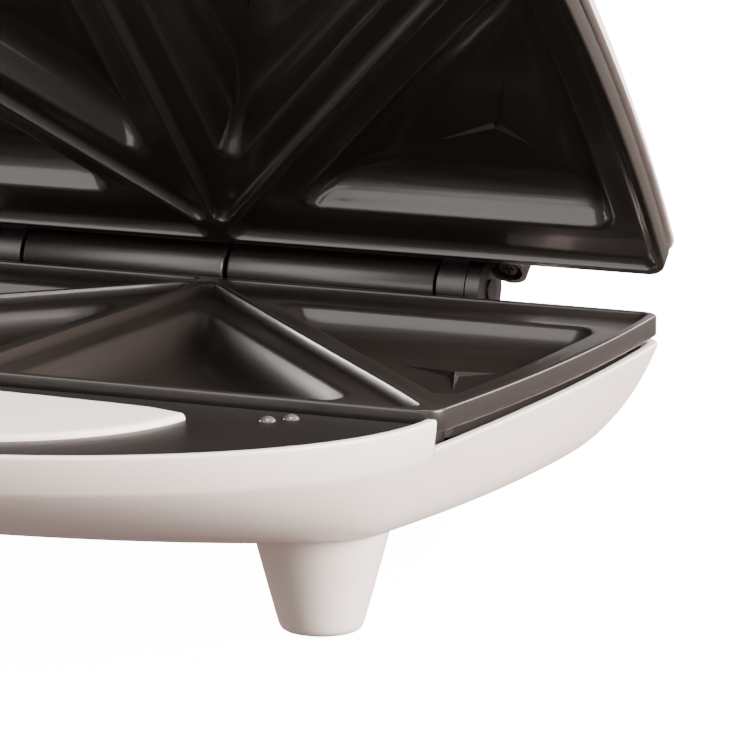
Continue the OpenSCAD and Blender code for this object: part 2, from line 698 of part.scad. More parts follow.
module lid_shell() color(white) lid_place() difference() {
    union() {
        flipped() difference() {
            bowl(lid_depth, lid_side_inset, 0);
            translate([-reach / 2, step_y, rim_z - 0.6]) rotate([0.5, 0, 0]) cube([reach, reach, 40]);
        }
        lid_house(0);
        // lugs that hold the latch's pin
        for (s = [-1, 1]) translate([s * (latch_w / 2 + 2.4) - 2, 0, 0]) {
            translate([0, latch_y, latch_z]) bar_x(0, 4, 3.6);
            translate([0, latch_y, latch_z - 3.6]) cube([4, 9, 7.2]);
        }
    }
    difference() {
        union() {
            flipped() bowl(lid_depth, lid_side_inset, wall);
            lid_house(wall);
        }
        flipped() panel_ledge();
        for (p = frame_screw_places) translate([p[0], p[1], p[2] + p[3] + 0.2])
            cylinder(r = 3, h = lid_top, $fn = 32);
        flipped() reflector_sockets(-lid_top);
    }
    translate([-reach / 2, 0, -reach + lid_house_z]) cube([reach, reach, reach]);
    // opening for the frame's rear skirt and its hinge knuckles
    translate([-house_half + 3.6, -wall - 2, -reach - ring_bottom + 0.2]) cube([2 * house_half - 7.2, reach, reach]);
    for (s = [-1, 1]) translate([s * boss_x, boss_y, -reach - ring_bottom + 0.2])
        cylinder(r = boss_r + clear, h = reach, $fn = 48);
    for (p = frame_screw_places) translate([p[0], p[1], 0]) cylinder(r = frame_screw_r + fit, h = 17.6, $fn = 32);
    flipped() reflector_socket_holes();
    translate([0, latch_y, latch_z]) bar_x(-latch_w / 2 - 3.8, latch_w / 2 + 3.8, 1.5 + fit);
}

module lid_front_panel() color(black) lid_place() flipped() difference() {
    front_panel_body(false);
}

module lid_frame() color(black) lid_place() difference() {
    union() {
        flipped() {
            frame_ring();
            ring_lugs();
        }
        // rear skirt joining the ring to the hinge knuckles
        translate([-house_half + 4, -4, skirt_h]) cube([2 * house_half - 8, hinge_y - 1.5 + 2, -ring_bottom - skirt_h]);
        at_hinge() for (s = [-1, 1])
            bar_x(s > 0 ? ear_span / 2 - 0.3 - knuckle_l : -ear_span / 2 + 0.3,
                  s > 0 ? ear_span / 2 - 0.3 : -ear_span / 2 + 0.3 + knuckle_l, barrel_r);
        for (s = [-1, 1]) translate([s > 0 ? ear_span / 2 - 0.3 - knuckle_l : -ear_span / 2 + 0.3, 2, 2])
            cube([knuckle_l, 10, -ring_bottom - 2]);
        for (s = [-1, 1]) translate([s * boss_x, boss_y, boss_z]) cylinder(r = boss_r, h = 5, $fn = 64);
        for (s = [-1, 1]) translate([s * 60 - 6, lug_y - 6, lug_z]) cube([12, -plate_d - lug_y + 10, lug_t]);
    }
    flipped() ring_holes();
    at_hinge() bar_x(-reach / 2, reach / 2, pin_r + fit);
    for (p = frame_screw_places) translate([p[0], p[1], -1]) cylinder(r = frame_screw_r + clear, h = 30, $fn = 48);
    for (s = [-1, 1]) translate([s * boss_x, boss_y, boss_z - 1]) cylinder(r = boss_r - 1.2, h = 2.4, $fn = 64);
    at_hinge() translate([wire_x + 16, 0, 0]) rotate([lead_angle, 0, 0]) cylinder(r = wire_r + 0.6, h = 20, $fn = 48);
    // room for the ears and for the long hinge covers
    for (s = [-1, 1]) at_hinge() bar_x(s > 0 ? ear_span / 2 : -ear_span / 2 - ear_t - 0.4,
                                      s > 0 ? ear_span / 2 + ear_t + 0.4 : -ear_span / 2, barrel_r + 0.5);
    at_hinge() bar_x(-ear_span / 2 + knuckle_l + 0.3 - eps, ear_span / 2 - knuckle_l - 0.3 + eps, barrel_r);
}

cover_in = 1.1;
cover_out = ear_span / 2 - knuckle_l - 0.3 - 0.8;
slot_w = 5.2;
module hinge_cover(s) color(black) lid_place() at_hinge() difference() {
    bar_x(s > 0 ? cover_in : -cover_out, s > 0 ? cover_out : -cover_in, barrel_r);
    bar_x(s > 0 ? cover_in + 1.6 : -cover_out - 1, s > 0 ? cover_out + 1 : -cover_in - 1.6, barrel_r - 1.8);
    // slot that passes over the rising wires through the lid's whole travel
    if (s > 0) translate([wire_x, 0, 0]) rotate([-28, 0, 0]) rotate([0, 90, 0])
        rotate_extrude(angle = 166, $fn = 96) translate([barrel_r - 3, -slot_w / 2]) square([4, slot_w]);
    if (s > 0) translate([wire_x + 16, 0, 0]) rotate([lead_angle, 0, 0]) cylinder(r = wire_r + 0.4, h = 15, $fn = 48);
}

module lid_plate() color("dimgray") lid_place() flipped() cooking_plate();
module lid_plate_screws() color("silver") lid_place() flipped() plate_screws();
module lid_element() color("gray") lid_place() flipped() element();
module lid_element_clamps() color("silver") lid_place() flipped() clamps();
module lid_clamp_screws() color("silver") lid_place() flipped() clamp_screws();
module lid_reflector() color("lightgray") lid_place() flipped() reflector();

module lid_frame_screws() color("silver") lid_place() for (p = frame_screw_places)
    translate([p[0], p[1], p[2]]) screw(frame_screw_r, 3, 0.9, 10);

// ---- latch ----------------------------------------------------------------

module latch_pin() color("silver") lid_place() translate([0, latch_y, latch_z])
    bar_x(-latch_w / 2 - 3.6, latch_w / 2 + 3.6, 1.5);

module latch_clip() color(white) lid_place() translate([0, latch_y, latch_z]) rotate([-latch_swing, 0, 0])
difference() {
    union() {
        bar_x(-latch_w / 2, latch_w / 2, 3.4);
        translate([-latch_w / 2, -3.4, catch_z - toe_t / 2 - latch_z]) {
            cube([latch_w, latch_t, latch_z - catch_z + toe_t / 2]);
            cube([latch_w, 11, toe_t]);
        }
        // finger tab
        translate([-latch_w / 2, -7.4, catch_z - 5 - latch_z]) cube([latch_w, 2.4, 6.2]);
        translate([-latch_w / 2, -7.4, catch_z - toe_t / 2 - latch_z]) cube([latch_w, 5, toe_t]);
    }
    bar_x(-reach / 2, reach / 2, 1.5 + fit);
}

base_shell();
front_panel();
grip_pad();
lens(lens_places[0]);  // indicator_lens_left
lens(lens_places[1]);  // indicator_lens_right
neon_lamps();
base_frame();
base_plate();
base_element();
base_element_clamps();
base_clamp_screws();
base_reflector();
base_plate_screws();
thermostat();
thermal_fuse();
terminal_block();
base_wiring();
cord_gland();
foot(0);  // foot_front_left
foot(1);  // foot_front_right
foot(2);  // foot_back_left
foot(3);  // foot_back_right
foot_pads();
foot_screws();
hinge_pin(-1);  // hinge_pin_left
hinge_pin(1);  // hinge_pin_right
lid_shell();
lid_front_panel();
lid_frame();
hinge_cover(-1);  // hinge_cover_left
hinge_cover(1);  // hinge_cover_right
lid_plate();
lid_element();
lid_element_clamps();
lid_clamp_screws();
lid_reflector();
lid_plate_screws();
lid_frame_screws();
lid_wiring();
latch_pin();
latch_clip();
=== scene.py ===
# %% [markdown]
# # A sandwich toaster, dressed over its construction model
# The construction model already holds every separate piece at its true size
# and place. Here the pieces that give the toaster its look are modelled once
# more with smooth curves and soft edges, and every surface gets its finish.
# Pieces that are right as they are keep their shape and only get a finish.

# %% Load the construction model
import json
import math

import bmesh
import bpy
import numpy as np
from mathutils import Matrix, Vector


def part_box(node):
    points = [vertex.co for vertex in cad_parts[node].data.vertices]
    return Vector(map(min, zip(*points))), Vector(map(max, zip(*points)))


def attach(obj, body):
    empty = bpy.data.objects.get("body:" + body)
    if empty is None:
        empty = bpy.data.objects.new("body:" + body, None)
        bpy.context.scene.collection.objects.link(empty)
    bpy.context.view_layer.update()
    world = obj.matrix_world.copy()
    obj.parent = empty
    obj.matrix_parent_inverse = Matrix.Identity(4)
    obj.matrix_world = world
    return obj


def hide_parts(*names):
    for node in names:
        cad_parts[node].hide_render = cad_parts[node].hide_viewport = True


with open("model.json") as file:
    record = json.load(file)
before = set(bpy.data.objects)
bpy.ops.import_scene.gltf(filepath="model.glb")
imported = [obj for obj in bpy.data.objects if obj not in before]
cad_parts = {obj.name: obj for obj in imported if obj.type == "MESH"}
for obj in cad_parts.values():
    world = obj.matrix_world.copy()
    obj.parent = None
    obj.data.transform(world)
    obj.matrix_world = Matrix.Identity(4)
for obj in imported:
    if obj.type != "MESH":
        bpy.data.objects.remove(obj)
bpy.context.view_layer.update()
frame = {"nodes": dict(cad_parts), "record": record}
nodes = frame["nodes"]

# %% [markdown]
# The camera stands in front and to the right, a little above the toaster and
# a metre away. Its lens is long, so the toaster hardly narrows towards the
# back and fills more than the frame. A camera could be aimed with a
# constraint; here its three axes are worked out from two angles and written
# straight into its matrix, which leaves nothing to chance. It comes first,
# because every look at the model needs it.

# %% Camera
yaw, pitch = math.radians(24.782), math.radians(10.852)  # turned left, tipped down
standpoint = (0.49942, -0.906126, 0.23997)
ahead = Vector((-math.sin(yaw) * math.cos(pitch), math.cos(yaw) * math.cos(pitch), -math.sin(pitch)))
sideways = Vector((math.cos(yaw), math.sin(yaw), 0))
upwards = sideways.cross(ahead)
bpy.ops.object.select_all(action="DESELECT")
bpy.ops.object.camera_add()
camera = bpy.context.object
camera.name = "camera"
turned = Matrix((sideways, upwards, -ahead)).transposed().to_4x4()
camera.matrix_world = Matrix.Translation(standpoint) @ turned
camera.data.sensor_width = 36
camera.data.lens = 233.28
bpy.context.scene.camera = camera
print("camera", [round(v, 3) for v in camera.location], "lens", round(camera.data.lens, 1), "mm")

# %% [markdown]
# All drawing is done in millimetres, from where the two cooking plates meet:
# their meeting plane is z = 0, their back edge y = 0, and the middle of the
# toaster x = 0. `place` turns such a point into the model's metres. The lid is
# drawn shut, because its outlines are simple there, and `tip_open` turns it
# about the hinge to where it rests.

# %% Drawing plane and hinge
plate_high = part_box("base_plate")[1]
origin = Vector((0, plate_high.y, plate_high.z))
HALF_W, DEPTH = 116.0, 126.0  # the plates' half width and their depth
MIDDLE = DEPTH / 2
BOW = 3.1  # how far their sides bow out at the middle
STEP_Y = -130.0  # here the front lip steps down to the side rim
HINGE_Y, OPEN = 10.6, math.radians(46.3)  # the hinge axis, and how far the lid is open
PIN_Y, PIN_Z, PIN_BORE = -209.6, 12, 1.56  # the latch's pin in the lid's front edge


def place(p):
    return origin + Vector(p) / 1000


def tip_open(piece, flip=False):
    """Turns a piece that was drawn shut about the hinge; flip first turns a base's shape over."""
    hinge = Matrix.Translation(place((0, HINGE_Y, 0)))
    over = Matrix.Diagonal((1, 1, -1, 1)) if flip else Matrix.Identity(4)
    piece.matrix_world = hinge @ Matrix.Rotation(-OPEN, 4, "X") @ over @ hinge.inverted()
    only(piece)
    bpy.ops.object.transform_apply(location=True, rotation=True, scale=True)
    if flip:
        outward(piece)
    return piece


print("meeting plane at", round(origin.z * 1000, 2), "mm, back edge at", round(origin.y * 1000, 2), "mm")

# %% [markdown]
# A few hand movements come back all the time: take one piece, face its
# surface outwards, join pieces, cut one with another, and copy a piece to
# the other side. Each is a short function around Blender's own operators, and
# each starts with `only`, because an operator acts on all that is selected.

# %% Hand movements
def only(*pieces):
    bpy.ops.object.select_all(action="DESELECT")
    for piece in pieces:
        piece.select_set(True)
    bpy.context.view_layer.objects.active = pieces[0]


def outward(piece, merge=0.0):
    only(piece)
    bpy.ops.object.mode_set(mode="EDIT")
    bpy.ops.mesh.select_all(action="SELECT")
    if merge:
        bpy.ops.mesh.remove_doubles(threshold=merge / 1000)
        bpy.ops.mesh.delete_loose()
        bpy.ops.mesh.select_all(action="SELECT")
    bpy.ops.mesh.normals_make_consistent(inside=False)
    bpy.ops.object.mode_set(mode="OBJECT")
    return piece


def joined(name, *pieces):
    only(*pieces)
    bpy.ops.object.join()
    piece = bpy.context.object
    piece.name = piece.data.name = name
    return piece


def combine(piece, other, operation):
    """Adds another closed piece to this one, or cuts it away, and throws the other away."""
    only(piece)
    change = piece.modifiers.new(operation.lower(), "BOOLEAN")
    change.operation, change.object, change.solver = operation, other, "EXACT"
    bpy.ops.object.modifier_apply(modifier=change.name)
    bpy.data.objects.remove(other)
    return piece


def to_left(piece, name):
    """A copy of a right-hand piece with its own mesh, mirrored to the left."""
    only(piece)
    bpy.ops.object.duplicate()
    copy = bpy.context.object
    copy.name = copy.data.name = name
    copy.scale.x = -1
    bpy.ops.object.transform_apply(location=True, rotation=True, scale=True)
    return outward(copy)


def smooth(piece, degrees=32):
    only(piece)
    bpy.ops.object.shade_smooth_by_angle(angle=math.radians(degrees))
    return piece


# %% [markdown]
# Most mouldings are one outline that changes as it rises, like the ribs of a
# boat. `loft` lays a circle primitive on the first outline and extrudes it
# from one outline to the next, each point going to its partner. A face closes
# each end, or an end stays open where another piece joins on.
# Subdividing a box would give soft shapes too, but none so true to size.
# Round pieces are spun from their profile by `lathe`.

# %% Loft and lathe
def loft(name, rings, ends="both"):
    """Extrudes an outline from ring to ring; a face closes both ends, the last one only, or none."""
    bpy.ops.object.select_all(action="DESELECT")
    first_face = "NGON" if ends == "both" else "NOTHING"
    bpy.ops.mesh.primitive_circle_add(vertices=len(rings[0]), fill_type=first_face)
    piece = bpy.context.object
    piece.name = piece.data.name = name
    bpy.ops.object.mode_set(mode="EDIT")
    work = bmesh.from_edit_mesh(piece.data)
    for v, p in zip(list(work.verts), rings[0]):
        v.co = place(p)
    partner = {tuple(v.co): i for i, v in enumerate(work.verts)}
    for ring in rings[1:]:
        bpy.ops.mesh.extrude_region_move()
        work = bmesh.from_edit_mesh(piece.data)
        following = {}
        for v in work.verts:
            if v.select:
                i = partner[tuple(v.co)]
                v.co = place(ring[i])
                following[tuple(v.co)] = i
        partner = following
    if ends == "last":
        bpy.ops.mesh.edge_face_add()
    bmesh.update_edit_mesh(piece.data)
    bpy.ops.mesh.select_all(action="SELECT")
    bpy.ops.mesh.normals_make_consistent(inside=False)
    bpy.ops.object.mode_set(mode="OBJECT")
    return piece


def lathe(name, profile, centre, axis="Z", steps=72):
    """Spins a closed profile of (radius, height) points about an axis through centre."""
    turn = {"Z": lambda r, h: (r, 0, h), "X": lambda r, h: (h, r, 0)}[axis]
    bpy.ops.object.select_all(action="DESELECT")
    bpy.ops.mesh.primitive_circle_add(vertices=len(profile), fill_type="NOTHING")
    piece = bpy.context.object
    piece.name = piece.data.name = name
    bpy.ops.object.mode_set(mode="EDIT")
    work = bmesh.from_edit_mesh(piece.data)
    for v, (r, h) in zip(list(work.verts), profile):
        v.co = place(Vector(centre) + Vector(turn(r, h)))
    bmesh.update_edit_mesh(piece.data)
    bpy.ops.mesh.spin(steps=steps, angle=2 * math.pi, center=place(centre),
                      axis=(0, 0, 1) if axis == "Z" else (1, 0, 0))
    bpy.ops.object.mode_set(mode="OBJECT")
    return outward(piece, merge=0.001)


def block(name, low, high):
    """A cube primitive between two corners, for cutting."""
    bpy.ops.object.select_all(action="DESELECT")
    middle = (Vector(low) + Vector(high)) / 2
    bpy.ops.mesh.primitive_cube_add(size=0.001, location=place(middle), scale=Vector(high) - Vector(low))
    bpy.context.object.name = name
    bpy.ops.object.transform_apply(location=True, rotation=True, scale=True)
    return bpy.context.object


def rod(name, start, end, radius, steps=48):
    """A cylinder primitive between two points, for cutting."""
    bpy.ops.object.select_all(action="DESELECT")
    way = Vector(end) - Vector(start)
    bpy.ops.mesh.primitive_cylinder_add(vertices=steps, radius=radius / 1000, depth=way.length / 1000,
                                        location=place((Vector(start) + Vector(end)) / 2),
                                        rotation=way.to_track_quat("Z", "Y").to_euler())
    bpy.context.object.name = name
    bpy.ops.object.transform_apply(location=True, rotation=True, scale=True)
    return bpy.context.object


print("loft, lathe, block and rod are ready")

# %% [markdown]
# The body's outline is drawn once for both shells: rounded back corners,
# gently bowed sides, and a half-ellipse front. Every point knows its zone (0
# corner, 1 side, 2 front), so that the outline can shrink and round off on the
# way down, and so that the front keeps a higher lip than the sides. Two points
# lie almost together where the lip steps down; they make the step's edge.

# %% Body outline
WALL = 2.4
BODY_HALF, NOSE = 117, 77  # half the width, and how far the front reaches past the step
FRONT_BOW = 1.9  # how much the sides bow in front of their middle
WALL_TOP = -6.4  # below this level the wall curves in
LIP_TOP, RIM_TOP = -0.8, -7.0  # the front lip, and the side rim at the step
corner_turn = np.radians(np.linspace(90, 0, 13))
along_side = np.append(np.linspace(0, 1, 26)[1:-1], 0.9997)
around_front = np.radians(np.linspace(0, 90, 41))
zone = np.array([0] * 13 + [1] * len(along_side) + [2] * 41)
value = np.concatenate([corner_turn, along_side, around_front])
right_count = len(zone)
zone = np.concatenate([zone, zone[:-1][::-1]])
value = np.concatenate([value, value[:-1][::-1]])
hand = np.array([1.0] * right_count + [-1.0] * (right_count - 1))


def side_x(half, y, bow=BOW):
    return half - bow * ((y + MIDDLE) / MIDDLE) ** 2


def body_ring(angle, inward, depth, inset, lid=False, height=None):
    """The body's outline at an angle of the quarter turn from upright rim to flat bottom."""
    angle = np.broadcast_to(np.asarray(angle, float), zone.shape)
    # on the way down the corners' radius grows, and the sides, back and front draw in
    c = 1 - np.cos(angle)
    half, back = BODY_HALF - inward - inset * np.sqrt(c), 1 - inward - 18 * c
    radius, nose = 9 + 27 * c, NOSE - inward - (58 - inward) * c ** 0.8
    bow = FRONT_BOW + 3.2 * np.sqrt(c)
    y_side = back - radius + (STEP_Y - back + radius) * value
    x = np.select([zone == 0, zone == 1, zone == 2],
                  [side_x(half, back - radius) - radius + radius * np.cos(value),
                   side_x(half, y_side, np.where(y_side > -MIDDLE, BOW, bow)),
                   side_x(half, STEP_Y, bow) * np.cos(value)])
    y = np.select([zone == 0, zone == 1, zone == 2],
                  [back - radius + radius * np.sin(value), y_side, STEP_Y - nose * np.sin(value)])
    if height is None:
        height = WALL_TOP - (depth - inward) * np.sin(angle)
    z = np.broadcast_to(height, zone.shape)
    return np.stack([x * hand, y, -z if lid else z], 1)


def rim_height(y):
    """The lip stands just under the meeting plane; the side rims are lower and rise a little to the back."""
    return np.where(zone == 2, LIP_TOP, RIM_TOP + (y - STEP_Y) * math.tan(math.radians(0.5)))


def wall_ring(below, inward, depth, inset, lid=False):
    """The outline a little below the rim, wherever the rim is."""
    y = body_ring(0, inward, depth, inset)[:, 1]
    height = rim_height(y) - below
    angle = np.arcsin(np.clip((WALL_TOP - height) / (depth - inward), 0, 1))
    return body_ring(angle, inward, depth, inset, lid, height)


def shell_rings(depth, inset, lid=False):
    """Outer wall from the bottom up, over the rounded rim, and down the inner wall."""
    rise = np.radians(np.linspace(90, 5, 27))
    edge = [(0.9, 0), (0.45, 0.02), (0.2, 0.12), (0.06, 0.3), (0, 0.6)]
    rings = [body_ring(a, 0, depth, inset, lid) for a in rise]
    rings += [wall_ring(b, i, depth, inset, lid) for b, i in edge]
    rings += [wall_ring(b, WALL - i, depth, inset, lid) for b, i in edge[::-1]]
    rings += [body_ring(a, WALL, depth, inset, lid) for a in rise[::-1]]
    return rings


def hollow_rings(depth, inset, lid=False):
    """The room inside a shell, a hair smaller, up past the rim."""
    down = np.radians([0, 5, 12, 20, 30, 40, 50, 60, 70, 80, 90])
    rings = [body_ring(0, WALL + 0.03, depth, inset, lid, 4.0)]
    return rings + [body_ring(a, WALL + 0.03, depth, inset, lid) for a in down]


print(len(zone), "points around the body")

# %% [markdown]
# The base is a shallow white bowl, moulded in one piece with a housing behind
# the plates that takes the hinge. A Solidify modifier could give the bowl its
# wall, but the rim is rounded and changes height, so the wall is lofted in one
# go: up the outside, over the rim and down the inside. The housing and the two
# low corner blocks on it are lofts too. All are joined and hollowed, and then
# the trough for the hinge, the window for the barrels, the hole for the cord,
# the slot for the latch and the cooling slots in the floor are cut.

# %% Base shell
BASE_DEPTH, BASE_INSET = 20, 11  # how deep the bowl is below its wall, and how far its sides draw in
HOUSE_HALF, HOUSE_FRONT, HOUSE_BACK = 77, -20, 18.4  # the housing's half width, and its two ends in y
HOUSE_TOP, HOUSE_DEPTH = -8.4, 18
TROUGH_HALF, TROUGH_RADIUS, WINDOW_HALF = 75.4, 8, 67.4


def house_ring(inward, back, radius, z, front):
    turn = np.radians(np.linspace(90, 0, 11))
    half = HOUSE_HALF - inward
    right = [(half - radius + radius * math.cos(a), back - radius + radius * math.sin(a), z) for a in turn]
    right += [(half, front, z)]
    return right + [(-x, y, z) for x, y, z in right[::-1]]


def base_house(inward):
    rings = []
    for a in np.radians(np.linspace(0, 90, 15)):
        c = 1 - math.cos(a)
        z = HOUSE_TOP - (HOUSE_DEPTH - inward) * math.sin(a)
        front = HOUSE_FRONT + 0.2 * (inward > 0)
        rings.append(house_ring(inward + 3 * c, HOUSE_BACK - inward - 7 * c, 8, z, front))
    return rings


base_shell = loft("base_shell_looks", shell_rings(BASE_DEPTH, BASE_INSET))
combine(base_shell, loft("house", base_house(0)), "UNION")
rounded = [(0, -8.6), (0, -4.2), (0.12, -3.8), (0.6, -3.6)]
rings = [house_ring(inward, HOUSE_BACK - inward, 8, z, 1.0) for inward, z in rounded]
combine(base_shell, loft("corner_blocks", rings), "UNION")
combine(base_shell, loft("room", hollow_rings(BASE_DEPTH, BASE_INSET)), "DIFFERENCE")
combine(base_shell, loft("house_room", base_house(WALL)), "DIFFERENCE")
trough = rod("trough", (-TROUGH_HALF, HINGE_Y, 0), (TROUGH_HALF, HINGE_Y, 0), TROUGH_RADIUS, 96)
combine(base_shell, trough, "DIFFERENCE")
combine(base_shell, block("window", (-WINDOW_HALF, -2.4, -18.4), (WINDOW_HALF, 15.6, 12)), "DIFFERENCE")
combine(base_shell, block("rear_cut", (-90, HINGE_Y, -6), (90, 40, 12)), "DIFFERENCE")
combine(base_shell, rod("cord_hole", (40, 2, -17), (40, 40, -17), 6.04, 64), "DIFFERENCE")
combine(base_shell, block("latch_slot", (-15.2, -208.4, -10.5), (15.2, -199, -5.5)), "DIFFERENCE")
for i in range(5):
    slot = block("cooling_slot", (-25, -80 + 9 * i, -27.4), (25, -77.6 + 9 * i, -23))
    combine(base_shell, slot, "DIFFERENCE")
smooth(base_shell)
print("base shell:", len(base_shell.data.polygons), "faces")

# %% [markdown]
# The lid's shell is the same kind of bowl turned over, a little deeper and with
# its sides drawn further in, so the same outlines draw it with other numbers.
# Its own housing reaches back over the hinge, and two lugs at the front carry
# the pin of the latch. It is cut while shut, because every cut is then square
# to the axes, and tipped open last.

# %% Lid shell
LID_DEPTH, LID_INSET = 22, 17
LID_HOUSE_BACK, LID_HOUSE_FOOT, LID_HOUSE_RISE = 9.5, 7.8, 20.6


def lid_house(inward):
    rings = []
    for a in np.radians(np.linspace(0, 90, 15)):
        c = 1 - math.cos(a)
        z = LID_HOUSE_FOOT + (LID_HOUSE_RISE - inward) * math.sin(a)
        front = HOUSE_FRONT + 0.2 * (inward > 0)
        rings.append(house_ring(inward + 8 * c, LID_HOUSE_BACK - inward - 6 * c, 5, z, front))
    return rings


lid_shell = loft("lid_shell_looks", shell_rings(LID_DEPTH, LID_INSET, True))
combine(lid_shell, loft("house", lid_house(0)), "UNION")
combine(lid_shell, loft("room", hollow_rings(LID_DEPTH, LID_INSET, True)), "DIFFERENCE")
combine(lid_shell, loft("house_room", lid_house(WALL)), "DIFFERENCE")
combine(lid_shell, block("under_house", (-90, 0, -12), (90, 40, LID_HOUSE_FOOT)), "DIFFERENCE")
combine(lid_shell, block("skirt_opening", (-73.4, -4.4, -12), (73.4, 40, 8.2)), "DIFFERENCE")
half_turn = np.radians(np.linspace(0, 180, 17))
lug = [(PIN_Y - 3.6 * math.sin(a), PIN_Z + 3.6 * math.cos(a)) for a in half_turn]
lug += [(-200.4, 8.4), (-200.4, 15.6)]
for s in (-1, 1):
    combine(lid_shell, rod("boss_room", (s * 70.6, 6.5, -3), (s * 70.6, 6.5, 8.2), 5.2), "DIFFERENCE")
    x0, x1 = sorted((s * 14.4, s * 18.4))
    # each lug's two end faces are drawn a tenth smaller than its middle, about (-205, PIN_Z)
    rings = [[(x0 + (x1 - x0) * k, y + (-205 - y) * g / 6, z + (PIN_Z - z) * g / 6) for y, z in lug]
             for k, g in ((0, 0.6), (0.15, 0), (0.85, 0), (1, 0.6))]
    combine(lid_shell, loft("latch_lug", rings), "UNION")
combine(lid_shell, rod("pin_hole", (-17.9, PIN_Y, PIN_Z), (17.9, PIN_Y, PIN_Z), PIN_BORE), "DIFFERENCE")
tip_open(lid_shell)
smooth(lid_shell)
print("lid shell:", len(lid_shell.data.polygons), "faces")

# %% [markdown]
# A cooking plate is one casting. Its top is drawn cell by cell: each cell is a
# triangle between the rim and the dividing ridges, and steps down from the
# crest over a slope to the flat sealing land, then through a soft edge and a
# steep wall into the pocket. `cell_ring` draws such a triangle with round
# corners at any distance from its three edges.

# %% Triangular cells
ROOT, REACH = Vector((0, -3)), Vector((side_x(HALF_W, -122) - 4, -122))  # the slanting ridge's two ends
CREST, RIDGE = 1.6, 0.7  # width of the rim's crest, and half the width of a ridge's
STRAIGHT = HALF_W - BOW
diagonal = (REACH - ROOT).normalized()
below = Vector((diagonal.y, -diagonal.x))
sides = {
    "back": [(Vector((0, -CREST)), Vector((0, -1))), (Vector((STRAIGHT - CREST, 0)), Vector((-1, 0))),
             (ROOT - below * RIDGE, -below)],
    "front": [(Vector((RIDGE, 0)), Vector((1, 0))), (ROOT + below * RIDGE, below),
              (Vector((0, CREST - DEPTH)), Vector((0, 1)))],
}
# for each side of a cell: how wide the slope under its crest is, and how far in its pocket starts
slopes = {"back": (2.6, 2.6, 1.5), "front": (1.5, 1.5, 2.6)}
edges = {"back": (11.9, 8.4, 7.8), "front": (8.6, 7.6, 9.4)}
widest = {"back": 0, "front": 1}  # the corner with the largest radius
# the slope as (share of its width, height), and the pocket's wall as (distance in, height)
slope_curve = [(0, 0), (0.03, -0.02), (0.065, -0.11), (0.1, -0.28), (0.14, -0.52),
               (0.34, -1.14), (0.6, -1.7), (0.85, -2.04), (1, -2.14)]
wall_curve = [(0.45, -2.24), (0.85, -2.4), (1.2, -2.72), (1.45, -3.15), (2.0, -4.4), (2.6, -5.6),
              (3.35, -6.75), (4.3, -7.8), (5.4, -8.7), (6.7, -9.45), (8.2, -10.05), (9.8, -10.47),
              (11.2, -10.71), (12.2, -10.8)]
LAND = -2.2  # height of the flat sealing land


def bowed(x, y):
    """The plate's sides bow outwards, and what lies inside follows a little."""
    return x + math.copysign(BOW * (1 - ((y + MIDDLE) / MIDDLE) ** 2) * min(1, abs(x) / STRAIGHT) ** 4, x)


def meeting(a, b):
    """The point where two lines meet, each given as a point on it and its normal."""
    (p, n), (q, m) = a, b
    across = n.x * m.y - n.y * m.x
    return Vector(((n.dot(p) * m.y - m.dot(q) * n.y) / across, (m.dot(q) * n.x - n.dot(p) * m.x) / across))


def corner_radii(cell, largest, others):
    return [largest if i == widest[cell] else others for i in range(3)]


def cell_ring(cell, inward, radii, z, arc=9, straight=16):
    """A cell's outline at one height, moved in from its three sides, with round corners."""
    lines = [(p + n * d, n) for (p, n), d in zip(sides[cell], inward)]
    centres = []
    for i in range(3):
        pair = (lines[i], lines[(i + 1) % 3])
        centres.append(meeting(*[(p + n * radii[i], n) for p, n in pair]))
    flat = []
    for i in range(3):
        before, after = -lines[i][1], -lines[(i + 1) % 3][1]
        turn = before.angle_signed(after)
        start = math.atan2(before.y, before.x)
        for k in range(arc):
            a = start - turn * k / (arc - 1)
            flat.append(centres[i] + radii[i] * Vector((math.cos(a), math.sin(a))))
        end = centres[(i + 1) % 3] + radii[(i + 1) % 3] * after
        for k in range(1, straight):
            flat.append(flat[-1 if k == 1 else -k].lerp(end, k / straight))
    return [(bowed(p.x, p.y), p.y, z) for p in flat]


def between(ones, others, share):
    return [a + (b - a) * share for a, b in zip(ones, others)]


def cell_rings(cell):
    """From the crest down the slope, across the land, and down the wall to the pocket's floor."""
    sharp, wide = corner_radii(cell, 3.0, 2.2), corner_radii(cell, 6.4, 3.6)
    land = [s + 0.7 for s in slopes[cell]]
    lip = [e - 0.9 for e in edges[cell]]
    rings = [cell_ring(cell, [s * k for s in slopes[cell]], sharp, z) for k, z in slope_curve]
    rings.append(cell_ring(cell, land, sharp, LAND))
    rings += [cell_ring(cell, between(land, lip, k), between(sharp, wide, k), LAND) for k in (0.5, 1)]
    for inward, z in wall_curve:
        tighter = [max(w * 0.5, w - 0.34 * inward) for w in wide]
        rings.append(cell_ring(cell, [e + inward for e in lip], tighter, z))
    return rings


print("slanting ridge", round((REACH - ROOT).length, 1), "mm long")

# %% [markdown]
# Each pocket's floor carries a star of three thin ribs, which presses a mark
# into the bread. The ribs could be three small blocks, but on the casting
# they are roof-shaped and run out to nothing. A six-sided cone gives just
# that: three of its corners are pulled out to the tips of the ribs, and three
# are pushed in between them. It sinks a hair into the floor.

# %% Stars in the pockets
STAR_FOOT, STAR_TOP = -11.0, -9.75
STAR_IN = 6.5  # how far inside the pocket's edge the triangle lies that the ribs point into
STAR_REACH, STAR_WAIST = 0.44, 1.3  # the tips' share of the way to its corners, and half a rib's width


